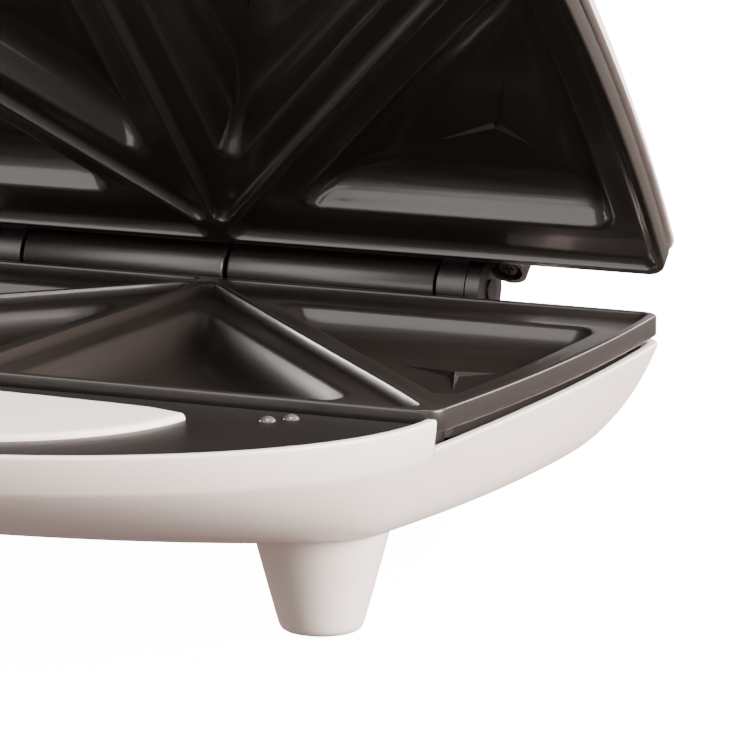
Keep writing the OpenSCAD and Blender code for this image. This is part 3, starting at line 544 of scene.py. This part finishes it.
def star(cell):
    lines = [(p + n * (e + STAR_IN), n) for (p, n), e in zip(sides[cell], edges[cell])]
    corners = [meeting(lines[i], lines[(i + 1) % 3]) for i in range(3)]
    # weighted with the lengths of the sides across, the corners give the middle of the inner circle
    lengths = [(corners[(i + 1) % 3] - corners[(i + 2) % 3]).length for i in range(3)]
    middle = sum((c * d for c, d in zip(corners, lengths)), Vector((0, 0))) / sum(lengths)
    tips = [middle + (c - middle) * STAR_REACH for c in corners]
    tips.sort(key=lambda p: math.atan2(p.y - middle.y, p.x - middle.x))
    outline = []
    for i in range(3):
        ways = [(tip - middle).normalized() for tip in (tips[i], tips[(i + 1) % 3])]
        half_way = (ways[0] + ways[1]).normalized()
        outline += [tips[i], middle + half_way * STAR_WAIST]
    bpy.ops.object.select_all(action="DESELECT")
    bpy.ops.mesh.primitive_cone_add(vertices=6, radius1=0.01, depth=0.002)
    piece = bpy.context.object
    top = max(piece.data.vertices, key=lambda v: v.co.z).index
    ring = [v.index for v in piece.data.vertices if v.index != top]
    ring.sort(key=lambda i: math.atan2(piece.data.vertices[i].co.y, piece.data.vertices[i].co.x))
    outline.sort(key=lambda p: math.atan2(p.y - middle.y, p.x - middle.x))
    for i, p in zip(ring, outline):
        piece.data.vertices[i].co = place((bowed(p.x, p.y), p.y, STAR_FOOT))
    piece.data.vertices[top].co = place((bowed(middle.x, middle.y), middle.y, STAR_TOP))
    return outward(piece)


print("stars rise", round(STAR_TOP - wall_curve[-1][1], 2), "mm above the pocket's floor")

# %% [markdown]
# The casting is put together from open parts that meet in the two flat levels
# of the crest and of the underside: the outer skirt, four pits going down, and
# four bosses under them. `mesh.fill` closes each level between all its loops
# at once, which leaves one closed body. Cutting the pits out of a slab would
# do too, but their soft upper edges would then leave slivers all round.

# %% Cooking plate
UNDERSIDE = -4.8


def plate_ring(inward, z, radius=4.6):
    half, back, front = STRAIGHT - inward, -inward, -DEPTH + inward
    turn = np.radians(np.linspace(90, 0, 10))
    right = [(half - radius + radius * math.cos(a), back - radius + radius * math.sin(a)) for a in turn]
    right += [(half, y) for y in np.linspace(back - radius, front + radius, 22)[1:-1]]
    right += [(half - radius + radius * math.cos(a), front + radius - radius * math.sin(a))
              for a in turn[::-1]]
    left = [(-x, y) for x, y in right[::-1]]
    across = np.linspace(half - radius, -half + radius, 14)[1:-1]
    flat = right + [(x, front) for x in across] + left + [(-x, back) for x in across]
    return [(bowed(x, y), y, z) for x, y in flat]


def fill_level(piece, z):
    """Closes the casting at one level, between all the loops that lie in it."""
    only(piece)
    bpy.ops.object.mode_set(mode="EDIT")
    bpy.ops.mesh.select_all(action="DESELECT")
    work = bmesh.from_edit_mesh(piece.data)
    level = place((0, 0, z)).z
    for v in work.verts:
        v.select = abs(v.co.z - level) < 2e-6
    work.select_flush(True)
    bmesh.update_edit_mesh(piece.data)
    bpy.ops.mesh.fill(use_beauty=True)
    bpy.ops.object.mode_set(mode="OBJECT")


def half_of_plate():
    parts = []
    for cell in ("back", "front"):
        pit = loft("pit", cell_rings(cell), ends="last")
        corners = corner_radii(cell, 6.4, 3.6)
        boss = [cell_ring(cell, [e - 0.7 + inward for e in edges[cell]], corners, z, 7, 5)
                for inward, z in ((0, UNDERSIDE), (0, -12.2), (0.3, -12.9), (1.2, -13.2))]
        parts += [pit, loft("boss", boss, ends="last")]
    return parts


skirt_curve = [(0.5, UNDERSIDE), (0.14, -4.66), (0, -4.3), (0, -0.6), (0.04, -0.32), (0.14, -0.12),
               (0.32, -0.02), (0.55, 0)]
skirt = loft("skirt", [plate_ring(inward, z) for inward, z in skirt_curve], ends="none")
right_half = half_of_plate()
left_half = [to_left(part, "left_part") for part in right_half]
base_plate = joined("base_plate_looks", skirt, *right_half, *left_half)
for level in (0, UNDERSIDE):
    fill_level(base_plate, level)
outward(base_plate, merge=0.001)
stars = [star("back"), star("front")]
stars += [to_left(s, "left_star") for s in stars]
smooth(base_plate, 38)
base_plate = joined("base_plate_looks", base_plate, *stars)
check = bmesh.new()
check.from_mesh(base_plate.data)
open_edges = sum(1 for e in check.edges if len(e.link_faces) != 2)
check.free()
print("cooking plate:", len(base_plate.data.polygons), "faces,", open_edges, "open edges")

# %% [markdown]
# The lid's plate is the same casting, so it is a copy of the finished one,
# turned over and tipped open with the lid. A mirrored copy has its faces
# inside out, which `tip_open` puts right.

# %% Lid plate
only(base_plate)
bpy.ops.object.duplicate()
lid_plate = bpy.context.object
lid_plate.name = lid_plate.data.name = "lid_plate_looks"
tip_open(lid_plate, flip=True)
print("lid plate copied, top at", round(max(v.co.z for v in lid_plate.data.vertices) * 1000, 1), "mm")

# %% [markdown]
# Behind each lip lies a flat satin panel with a fine raised bead along its
# curved edge. A bevel can't make a bead that fades out at both ends, so the
# panel is lofted from its underside up, over the bead and down to the flat.
# The base's panel is opened for the grip pad and the two lenses.

# %% Front panels
PANEL_TOP, PANEL_BACK = -2.6, -127.8
PANEL_GAP = 2.8  # from the body's outline in to the panel's
bend = np.radians(np.linspace(0, 180, 97))


def panel_ring(inward, z, bead=0.0):
    half, nose = side_x(BODY_HALF - PANEL_GAP - inward, STEP_Y, FRONT_BOW), NOSE - PANEL_GAP - inward
    curve = [(half * math.cos(u), STEP_Y - nose * math.sin(u)) for u in bend]
    back = PANEL_BACK - min(inward, 0.4)
    across = np.linspace(-half, half, 26)[1:-1]
    flat = [(half, back)] + curve + [(-half, back)] + [(x, back) for x in across]
    # the bead starts from nothing a little in front of the panel's back corners
    return [(x, y, z + bead * min(1, max(0, (-133 - y) / 3))) for x, y in flat]


def pad_ring(grow, z):
    """The grip pad's outline: a bowed back edge, and a front edge like a wide half-ellipse."""
    half, back = 64, -136.5
    right = [(x, back + grow - 3 * (x / half) ** 2) for x in np.linspace(0, half - 10, 12)]
    right += [((half + grow) * math.cos(u) ** 0.8, back - 6 - (44 + grow) * math.sin(u) ** 1.1)
              for u in np.radians(np.linspace(0, 90, 34))[:-1]]
    flat = right + [(0, back - 50 - grow)] + [(-x, y) for x, y in right[::-1][:-1]]
    return [(x, y, z) for x, y in flat]


def panel(name):
    rise = [(0.3, -5.0, 0), (0, -4.8, 0), (0, -2.75, 0.7), (0.12, -2.62, 0.72), (0.35, -2.6, 0.74),
            (0.75, -2.6, 0.74), (1.0, -2.62, 0.66), (1.15, -2.61, 0.1), (1.3, PANEL_TOP, 0),
            (1.8, PANEL_TOP, 0)]
    return loft(name, [panel_ring(inward, z, bead) for inward, z, bead in rise])


front_panel = panel("front_panel_looks")
combine(front_panel, loft("pad_opening", [pad_ring(0.7, z) for z in (-9, 1)]), "DIFFERENCE")
for x, y in ((80.46, -137.6), (83.94, -133.8)):  # beside the pad's right end
    combine(front_panel, rod("lens_hole", (x, y, -9), (x, y, 1), 1.66, 32), "DIFFERENCE")
lid_panel = tip_open(panel("lid_front_panel_looks"), flip=True)
for piece in (front_panel, lid_panel):
    smooth(piece)
print("panels:", len(front_panel.data.polygons), "and", len(lid_panel.data.polygons), "faces")

# %% [markdown]
# The grip pad is a smooth white moulding set into the panel, to lift or press
# the toaster by. Its edge is round, its top swells very slightly, and a flange
# under the panel holds it. One loft makes all of it: out over the flange, up
# through the opening, round the edge, and in rings towards the middle.

# %% Grip pad
PAD_TOP, PAD_MIDDLE = -1.4, 160  # where the round edge ends, and how far forward the middle is
pad_rise = [(2, -6.6), (2, -5.05), (0, -5.0), (0, -2.5), (-0.08, -2.1), (-0.3, -1.75), (-0.7, -1.5),
            (-1.3, PAD_TOP)]
rings = [pad_ring(grow, z) for grow, z in pad_rise]
top_edge = rings[-1]
for k in (0.95, 0.88, 0.78, 0.64, 0.46, 0.26, 0.08):
    z = PAD_TOP + 0.35 * (1 - k ** 2)
    rings.append([(x * k, (y + PAD_MIDDLE) * k - PAD_MIDDLE, z) for x, y, _ in top_edge])
grip_pad = smooth(loft("grip_pad_looks", rings))
print("grip pad:", len(grip_pad.data.polygons), "faces")

# %% [markdown]
# A foot is a hollow cone with a soft lower edge and a seat for its rubber
# pad, screwed on from below through its middle. A shape like this is turned,
# so its profile is spun once about its axis, and the other feet are copies.

# %% Feet
foot_places = {"foot_front_left": (-87, -126), "foot_front_right": (87, -126),
               "foot_back_left": (-50, -5), "foot_back_right": (50, -5)}
cone = [(2.15, -26.2), (14.4, -26.2), (14.4, -26.4), (13.9, -28.4), (12.0, -35.5), (10.0, -42.8),
        (9.1, -46.0)]
lower_edge = [(8.8, -46.9), (8.35, -47.6), (7.7, -48.0), (7.0, -48.1), (6.5, -48.1), (6.26, -47.95)]
pad_seat, screw_seat = [(6.26, -46.7), (4.0, -46.7)], [(4.0, -32.4), (2.15, -32.4)]
profile = cone + lower_edge + pad_seat + screw_seat
first_foot = smooth(lathe("foot_looks", profile, (0, 0, 0), steps=96))
feet = {}
for name, (x, y) in foot_places.items():
    only(first_foot)
    bpy.ops.object.duplicate()
    foot = bpy.context.object
    foot.name = foot.data.name = name + "_looks"
    bpy.ops.transform.translate(value=(x / 1000, y / 1000, 0))
    bpy.ops.object.transform_apply(location=True, rotation=True, scale=True)
    feet[name] = foot
bpy.data.objects.remove(first_foot)
print("feet:", sorted(feet))

# %% [markdown]
# Two long barrels hide the hinge. They are tubes with rounded ends, closed
# where they meet in the middle and open outside, and they are spun about the
# hinge axis. The right one has a slot underneath, which passes over the wires
# as the lid turns, and a hole where the wires leave for the lid. The slot's
# cutter is a small rectangle spun part of the way round, so it follows the
# barrel.

# %% Hinge barrels
def barrel(name, inner_end, outer_end):
    s = 1 if inner_end > 0 else -1
    a, b = inner_end, outer_end
    closed_end = [(0.3, a), (5.9, a), (6.55, a + 0.22 * s), (6.9, a + 0.55 * s), (7.0, a + 1.0 * s)]
    open_end = [(7.0, b - 0.6 * s), (6.8, b - 0.15 * s), (6.4, b), (5.4, b), (5.2, b - 0.2 * s)]
    bore = [(5.2, a + 1.6 * s), (0.3, a + 1.6 * s)]
    return lathe(name, closed_end + open_end + bore, (0, HINGE_Y, 0), axis="X", steps=96)


barrels = {"hinge_cover_left": barrel("hinge_cover_left_looks", -0.35, -54.4),
           "hinge_cover_right": barrel("hinge_cover_right_looks", 0.35, 54.4)}
slot_start = math.radians(-28)
bpy.ops.object.select_all(action="DESELECT")
bpy.ops.mesh.primitive_plane_add(size=0.001)
slot = bpy.context.object
for v, (r, x) in zip(slot.data.vertices, [(4, 21.4), (8, 21.4), (4, 26.6), (8, 26.6)]):
    v.co = place((x, HINGE_Y + r * math.sin(slot_start), -r * math.cos(slot_start)))
bpy.ops.object.mode_set(mode="EDIT")
bpy.ops.mesh.select_all(action="SELECT")
bpy.ops.mesh.spin(steps=40, angle=math.radians(-166), center=place((0, HINGE_Y, 0)), axis=(1, 0, 0))
bpy.ops.object.mode_set(mode="OBJECT")
outward(slot, merge=0.001)
combine(barrels["hinge_cover_right"], slot, "DIFFERENCE")
start = Vector((40, HINGE_Y, 0))
wire_way = Vector((0, -math.sin(math.radians(40)), math.cos(math.radians(40))))
wire_hole = rod("wire_hole", start + wire_way * 2, start + wire_way * 12, 2.3, 32)
combine(barrels["hinge_cover_right"], wire_hole, "DIFFERENCE")
for piece in barrels.values():
    tip_open(piece)
    smooth(piece)
print("barrels:", [len(b.data.polygons) for b in barrels.values()], "faces")

# %% [markdown]
# The latch is a clip on the lid's pin: an eye round the pin, a flat web, a
# toe that hooks into the base, and a small finger tab below. Its shape only
# changes in side view, so that view is drawn as one outline and extruded
# across, and a bevel modifier softens the edges. It is drawn as if hooked in,
# then swung out on its pin, and tipped open with the lid.

# %% Latch
SWUNG = math.radians(-35)
eye = [(-3.4 * math.cos(a), 3.4 * math.sin(a)) for a in np.radians(np.linspace(0, 250, 30))]
toe = [(-0.4, -3.4), (-0.4, -18.8), (7.6, -18.8), (7.6, -21.2)]
tab = [(-5.0, -21.2), (-5.0, -25.0), (-7.4, -25.0), (-7.4, -18.8), (-3.4, -18.8)]
side_view = [(PIN_Y + y, PIN_Z + z) for y, z in eye + toe + tab]
latch = loft("latch_clip_looks", [[(x, y, z) for y, z in side_view] for x in (-14, 14)])
combine(latch, rod("pin_way", (-20, PIN_Y, PIN_Z), (20, PIN_Y, PIN_Z), PIN_BORE, 40), "DIFFERENCE")
only(latch)
soft = latch.modifiers.new("soft_edges", "BEVEL")
soft.width, soft.segments, soft.limit_method, soft.angle_limit = 0.0004, 3, "ANGLE", math.radians(50)
bpy.ops.object.modifier_apply(modifier="soft_edges")
pin = place((0, PIN_Y, PIN_Z))
latch.matrix_world = Matrix.Translation(pin) @ Matrix.Rotation(SWUNG, 4, "X") @ Matrix.Translation(-pin)
only(latch)
bpy.ops.object.transform_apply(location=True, rotation=True, scale=True)
tip_open(latch)
smooth(latch)
print("latch:", len(latch.data.polygons), "faces")

# %% [markdown]
# Finishes are written as sums, because a page of nodes and links is hard to
# read. `Value` wraps one socket of a node, so that adding or multiplying it
# makes the Math nodes, and `Finish.node` makes any other node from its type,
# its settings and its values. Every finish reads Object coordinates, which
# stay with the piece.

# %% A small kit for finishes
class Value:
    def __init__(self, finish, socket):
        self.finish, self.socket = finish, socket

    def math(self, operation, a, b):
        return self.finish.node("Math", {"operation": operation}, {0: a, 1: b})

    def __add__(self, other):
        return self.math("ADD", self, other)

    def __mul__(self, other):
        return self.math("MULTIPLY", self, other)

    __radd__, __rmul__ = __add__, __mul__


class Finish:
    def __init__(self, name, **fixed):
        self.material = bpy.data.materials.new(name)
        self.material.use_nodes = True
        self.tree = self.material.node_tree
        self.surface = next(n for n in self.tree.nodes if n.type == "BSDF_PRINCIPLED")
        self.coords = self.node("TexCoord", out="Object")
        for key, value in fixed.items():
            self.surface.inputs[key.replace("_", " ")].default_value = value

    def node(self, kind, settings=None, values=None, out=0):
        made = self.tree.nodes.new("ShaderNode" + kind)
        for key, value in (settings or {}).items():
            setattr(made, key, value)
        for key, value in (values or {}).items():
            if isinstance(value, Value):
                self.tree.links.new(value.socket, made.inputs[key])
            else:
                made.inputs[key].default_value = value
        return Value(self, made.outputs[out])

    def noise(self, scale, detail=3.0, rough=0.5):
        values = {"Vector": self.coords, "Scale": scale, "Detail": detail, "Roughness": rough}
        return self.node("TexNoise", {}, values, "Fac")

    def blend(self, share, one, other):
        return self.node("Mix", {"data_type": "RGBA"}, {0: share, 6: one, 7: other}, 2)

    def feed(self, **varying):
        for key, value in varying.items():
            self.tree.links.new(value.socket, self.surface.inputs[key.replace("_", " ")])
        return self

    def relief(self, height, distance, strength):
        values = {"Strength": strength, "Distance": distance, "Height": height}
        return self.feed(Normal=self.node("Bump", {}, values))


def tone(r, g, b):
    return (r, g, b, 1)


print("finish kit is ready")

# %% [markdown]
# The white parts are a hard, warm white plastic with a soft gloss. One flat
# colour would look like a drawing, because moulded plastic is never quite
# even: its tone drifts a little, its gloss is cloudy, and its skin has a very
# faint ripple. Three noises of different sizes give these.

# %% White plastic
def white_plastic(name, gloss, colour=(0.87, 0.752, 0.69)):
    finish = Finish(name, Specular_IOR_Level=0.5)
    drift = finish.noise(9, 2)
    cloud = finish.noise(60, 4)
    darker = tuple(c * 0.955 for c in colour)
    finish.feed(Base_Color=finish.blend(drift, tone(*colour), tone(*darker)),
                Roughness=gloss + cloud * 0.07)
    return finish.relief(finish.noise(380, 2), 0.00012, 0.35).material


shell_white = white_plastic("white shell plastic", 0.27)
pad_white = white_plastic("grip pad plastic", 0.36, (0.93, 0.835, 0.79))
print("white plastics")

# %% [markdown]
# The plates wear a dark non-stick coating, sprayed on and baked. It is brown
# black, semi-gloss, finely grained, and a shade rougher in blotches. A thin
# clear coat keeps its highlights sharp over the rougher grain. The black
# plastics and the rubber are the same recipe with other numbers.

# %% Non-stick coating and blacks
def black_finish(name, colour, gloss, grain, depth, cloudy=0.08, **fixed):
    finish = Finish(name, **fixed)
    patches = finish.noise(34, 4, 0.6)
    specks = finish.noise(grain, 2, 0.6)
    finish.feed(Base_Color=finish.blend(specks, tone(*colour), tone(*[c * 1.7 for c in colour])),
                Roughness=gloss + patches * cloudy + specks * 0.05)
    return finish.relief(specks, depth, 0.5).material


coating = black_finish("non-stick coating", (0.0128, 0.0101, 0.0086), 0.32, 900, 0.00003, 0.09,
                       Specular_IOR_Level=0.32, Coat_Weight=0.4, Coat_Roughness=0.12)
panel_black = black_finish("satin black panel", (0.007, 0.0057, 0.0051), 0.34, 1300, 0.00006,
                           Specular_IOR_Level=0.32)
frame_black = black_finish("black frame plastic", (0.009, 0.0073, 0.0068), 0.3, 700, 0.00005)
barrel_black = black_finish("glossy black barrel", (0.015, 0.0118, 0.0105), 0.24, 500, 0.00001, 0.05)
rubber = black_finish("foot rubber", (0.03, 0.03, 0.031), 0.72, 1800, 0.0002)
print("black finishes")

# %% [markdown]
# Inside are steel screws and pins, a dark element tube, bright reflectors,
# ceramic, glass-fibre sleeves, and two neon lamps under small lenses. The
# hinge pins and the lid frame's screws get a near-black steel as painted shade.
# The drawn tube and the rolled sheet have fine lines along one way, so their noise
# is stretched: a small number in `streak` makes it long along that axis.

# %% Metals, glass, ceramic and sleeve
def metal(name, colour, rough, streak=(1, 1, 1), cloudy=0.12):
    finish = Finish(name, Metallic=1.0)
    stretched = finish.node("Mapping", {}, {"Vector": finish.coords, "Scale": streak})
    lines = finish.node("TexNoise", {}, {"Vector": stretched, "Scale": 420, "Detail": 3.0}, "Fac")
    patches = finish.noise(40, 3)
    finish.feed(Base_Color=finish.blend(patches, tone(*colour), tone(*[c * 0.8 for c in colour])),
                Roughness=rough + lines * cloudy)
    return finish.relief(lines, 0.00004, 0.3).material


steel = metal("bright steel", (0.62, 0.61, 0.6), 0.22)
# painted shade: this near-black steel goes on the hinge pins and the lid frame's screws, so that they stay
# as dark as the shaded recesses and barrel ends they sit in
painted_shade_steel = metal("steel painted dark as shade", (0.06, 0.055, 0.052), 0.35)
tube_steel = metal("element tube", (0.16, 0.145, 0.135), 0.42, (0.2, 1, 1))
reflector_sheet = metal("reflector sheet", (0.86, 0.86, 0.86), 0.16, (0.06, 1, 1))


def ceramic_body():
    finish = Finish("ceramic")
    body_tone = finish.blend(finish.noise(160, 3), tone(0.78, 0.73, 0.64), tone(0.64, 0.58, 0.5))
    finish.feed(Base_Color=body_tone, Roughness=0.5 + finish.noise(240) * 0.25)
    return finish.relief(finish.noise(900), 0.0001, 0.5).material


def woven_sleeve():
    finish = Finish("glass-fibre sleeve")
    values = {"Vector": finish.coords, "Scale": 520.0, "Distortion": 0.4}
    weave = finish.node("TexWave", {"bands_direction": "DIAGONAL"}, values, "Fac")
    thread_tone = finish.blend(weave, tone(0.55, 0.43, 0.27), tone(0.8, 0.72, 0.55))
    finish.feed(Base_Color=thread_tone, Roughness=0.6 + weave * 0.2)
    return finish.relief(weave, 0.0002, 0.6).material


def glass(name, one, other, scale, gloss, cloudy, **fixed):
    finish = Finish(name, **fixed)
    glass_tone = finish.blend(finish.noise(scale), tone(*one), tone(*other))
    return finish.feed(Base_Color=glass_tone, Roughness=gloss + finish.noise(500) * cloudy).material


ceramic, sleeve = ceramic_body(), woven_sleeve()
lens = glass("clear lens", (0.16, 0.14, 0.13), (0.1, 0.085, 0.08), 300, 0.06, 0.08,
             Transmission_Weight=0.35, IOR=1.49)
neon = glass("neon glass", (0.9, 0.42, 0.2), (0.8, 0.3, 0.12), 260, 0.1, 0.1,
             Transmission_Weight=0.5, IOR=1.5)
print("metals, ceramic, sleeve and glass")

# %% [markdown]
# Now every piece takes its finish. A modelled piece is hung on the body it
# moves with, takes its finish, and hides the construction piece it stands for.
# The other construction pieces are shown as they are, with their slot's finish.

# %% Dress the toaster
def dress(piece, body, stands_for, finish):
    piece.data.materials.clear()
    piece.data.materials.append(finish)
    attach(piece, body)
    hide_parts(stands_for)


dress(base_shell, "base", "base_shell", shell_white)
dress(lid_shell, "lid", "lid_shell", shell_white)
dress(base_plate, "base", "base_plate", coating)
dress(lid_plate, "lid", "lid_plate", coating)
dress(front_panel, "base", "front_panel", panel_black)
dress(lid_panel, "lid", "lid_front_panel", panel_black)
dress(grip_pad, "base", "grip_pad", pad_white)
dress(latch, "latch", "latch_clip", shell_white)
for name, foot in feet.items():
    dress(foot, "base", name, shell_white)
for name, piece in barrels.items():
    dress(piece, "lid", name, barrel_black)

by_slot = {"white_shell": shell_white, "black_panel": panel_black, "black_frame": frame_black,
           "cooking_plate": coating, "lens": lens, "neon": neon, "steel": steel, "element_tube": tube_steel,
           "reflector": reflector_sheet, "ceramic": ceramic, "wire": sleeve, "foot_rubber": rubber}
for part in frame["record"]["subparts"]:
    node = nodes[part["node"]]
    # painted shade: the hinge pins and the lid frame's screws take the near-black steel, dark like the shade
    # around them
    in_painted_shade = part["node"].startswith(("hinge_pin", "lid_frame_screws"))
    for s in node.material_slots:
        s.material = painted_shade_steel if in_painted_shade else by_slot[part["material_slot"]]
print("dressed", len(nodes), "construction pieces by slot")

# %% [markdown]
# The studio is a pale floor that glows, so that no shadow shows on it, under a
# sky that is white above and a dim warm grey below. The toaster neither
# mirrors the floor nor takes light from it: that grey stands in for it, and
# can be tuned alone. The front box stands on the left at a height where the
# pocket walls and the barrels mirror it. A low card and a low box on the left
# draw lines along the ridges, a box on the right lifts the side of the bowl,
# one overhead lifts the grip pad, and one behind edges the rims. The box and
# the card in front are only for reflections: the front of the bowl stays in
# soft shade.

# %% Studio
bpy.ops.object.select_all(action="DESELECT")
bpy.ops.mesh.primitive_plane_add(size=30)
floor = bpy.context.object
floor.name = "floor"
paper = Finish("pale floor", Emission_Strength=14.0)
paper.feed(Base_Color=paper.blend(paper.noise(3), tone(0.93, 0.93, 0.93), tone(0.91, 0.91, 0.91)),
           Emission_Color=paper.blend(paper.noise(2), tone(1, 1, 1), tone(0.99, 0.99, 0.99)),
           Roughness=0.8 + paper.noise(4) * 0.1)
floor.data.materials.append(paper.material)
floor.visible_diffuse = floor.visible_glossy = False

SKY_BELOW, SKY_ABOVE = tone(0.34, 0.265, 0.245), tone(1.0, 0.97, 0.96)
LAMP_TONE = (1.0, 0.94, 0.91)
world = bpy.data.worlds.new("studio")
bpy.context.scene.world = world
world.use_nodes = True
sky = next(n for n in world.node_tree.nodes if n.type == "BACKGROUND")
direction = world.node_tree.nodes.new("ShaderNodeTexCoord")
split = world.node_tree.nodes.new("ShaderNodeSeparateXYZ")
fade = world.node_tree.nodes.new("ShaderNodeMapRange")
mix = world.node_tree.nodes.new("ShaderNodeMix")
mix.data_type = "RGBA"
fade.inputs["From Min"].default_value, fade.inputs["From Max"].default_value = -0.35, 0.5
mix.inputs[6].default_value, mix.inputs[7].default_value = SKY_BELOW, SKY_ABOVE
for a, b in ((direction.outputs["Generated"], split.inputs[0]), (split.outputs["Z"], fade.inputs["Value"]),
             (fade.outputs["Result"], mix.inputs[0]), (mix.outputs[2], sky.inputs["Color"])):
    world.node_tree.links.new(a, b)
sky.inputs["Strength"].default_value = 0.92


def soft_box(name, position, target, width, height, glow):
    """A soft box whose surface has the given brightness, whatever its size."""
    bpy.ops.object.light_add(type="AREA", location=position)
    box = bpy.context.object
    box.name = name
    box.data.shape, box.data.size, box.data.size_y = "RECTANGLE", width, height
    box.data.energy = glow * math.pi * width * height
    box.data.color = LAMP_TONE
    box.rotation_euler = (Vector(target) - Vector(position)).to_track_quat("-Z", "Y").to_euler()
    return box


front_box = soft_box("front_box", (-0.66, -1.2, 0.78), (0, 0, 0.06), 0.82, 1.0, 5.4)
low_card = soft_box("low_card", (0.1, -1.3, 0.12), (0, 0, 0.15), 1.4, 0.3, 6)
front_box.visible_diffuse = low_card.visible_diffuse = False
soft_box("right_box", (1.42, 0.0, 0.6), (0, 0, 0.1), 0.9, 0.9, 48)
soft_box("top_box", (0.1, -0.25, 1.3), (0, -0.12, 0.05), 0.6, 0.4, 15)
soft_box("left_box", (-1.3, 0.42, 0.2), (0, 0, 0.1), 1.0, 0.4, 25)
soft_box("back_box", (0.45, 1.6, 0.95), (0, 0, 0.1), 1.4, 0.8, 10)
print("studio ready")
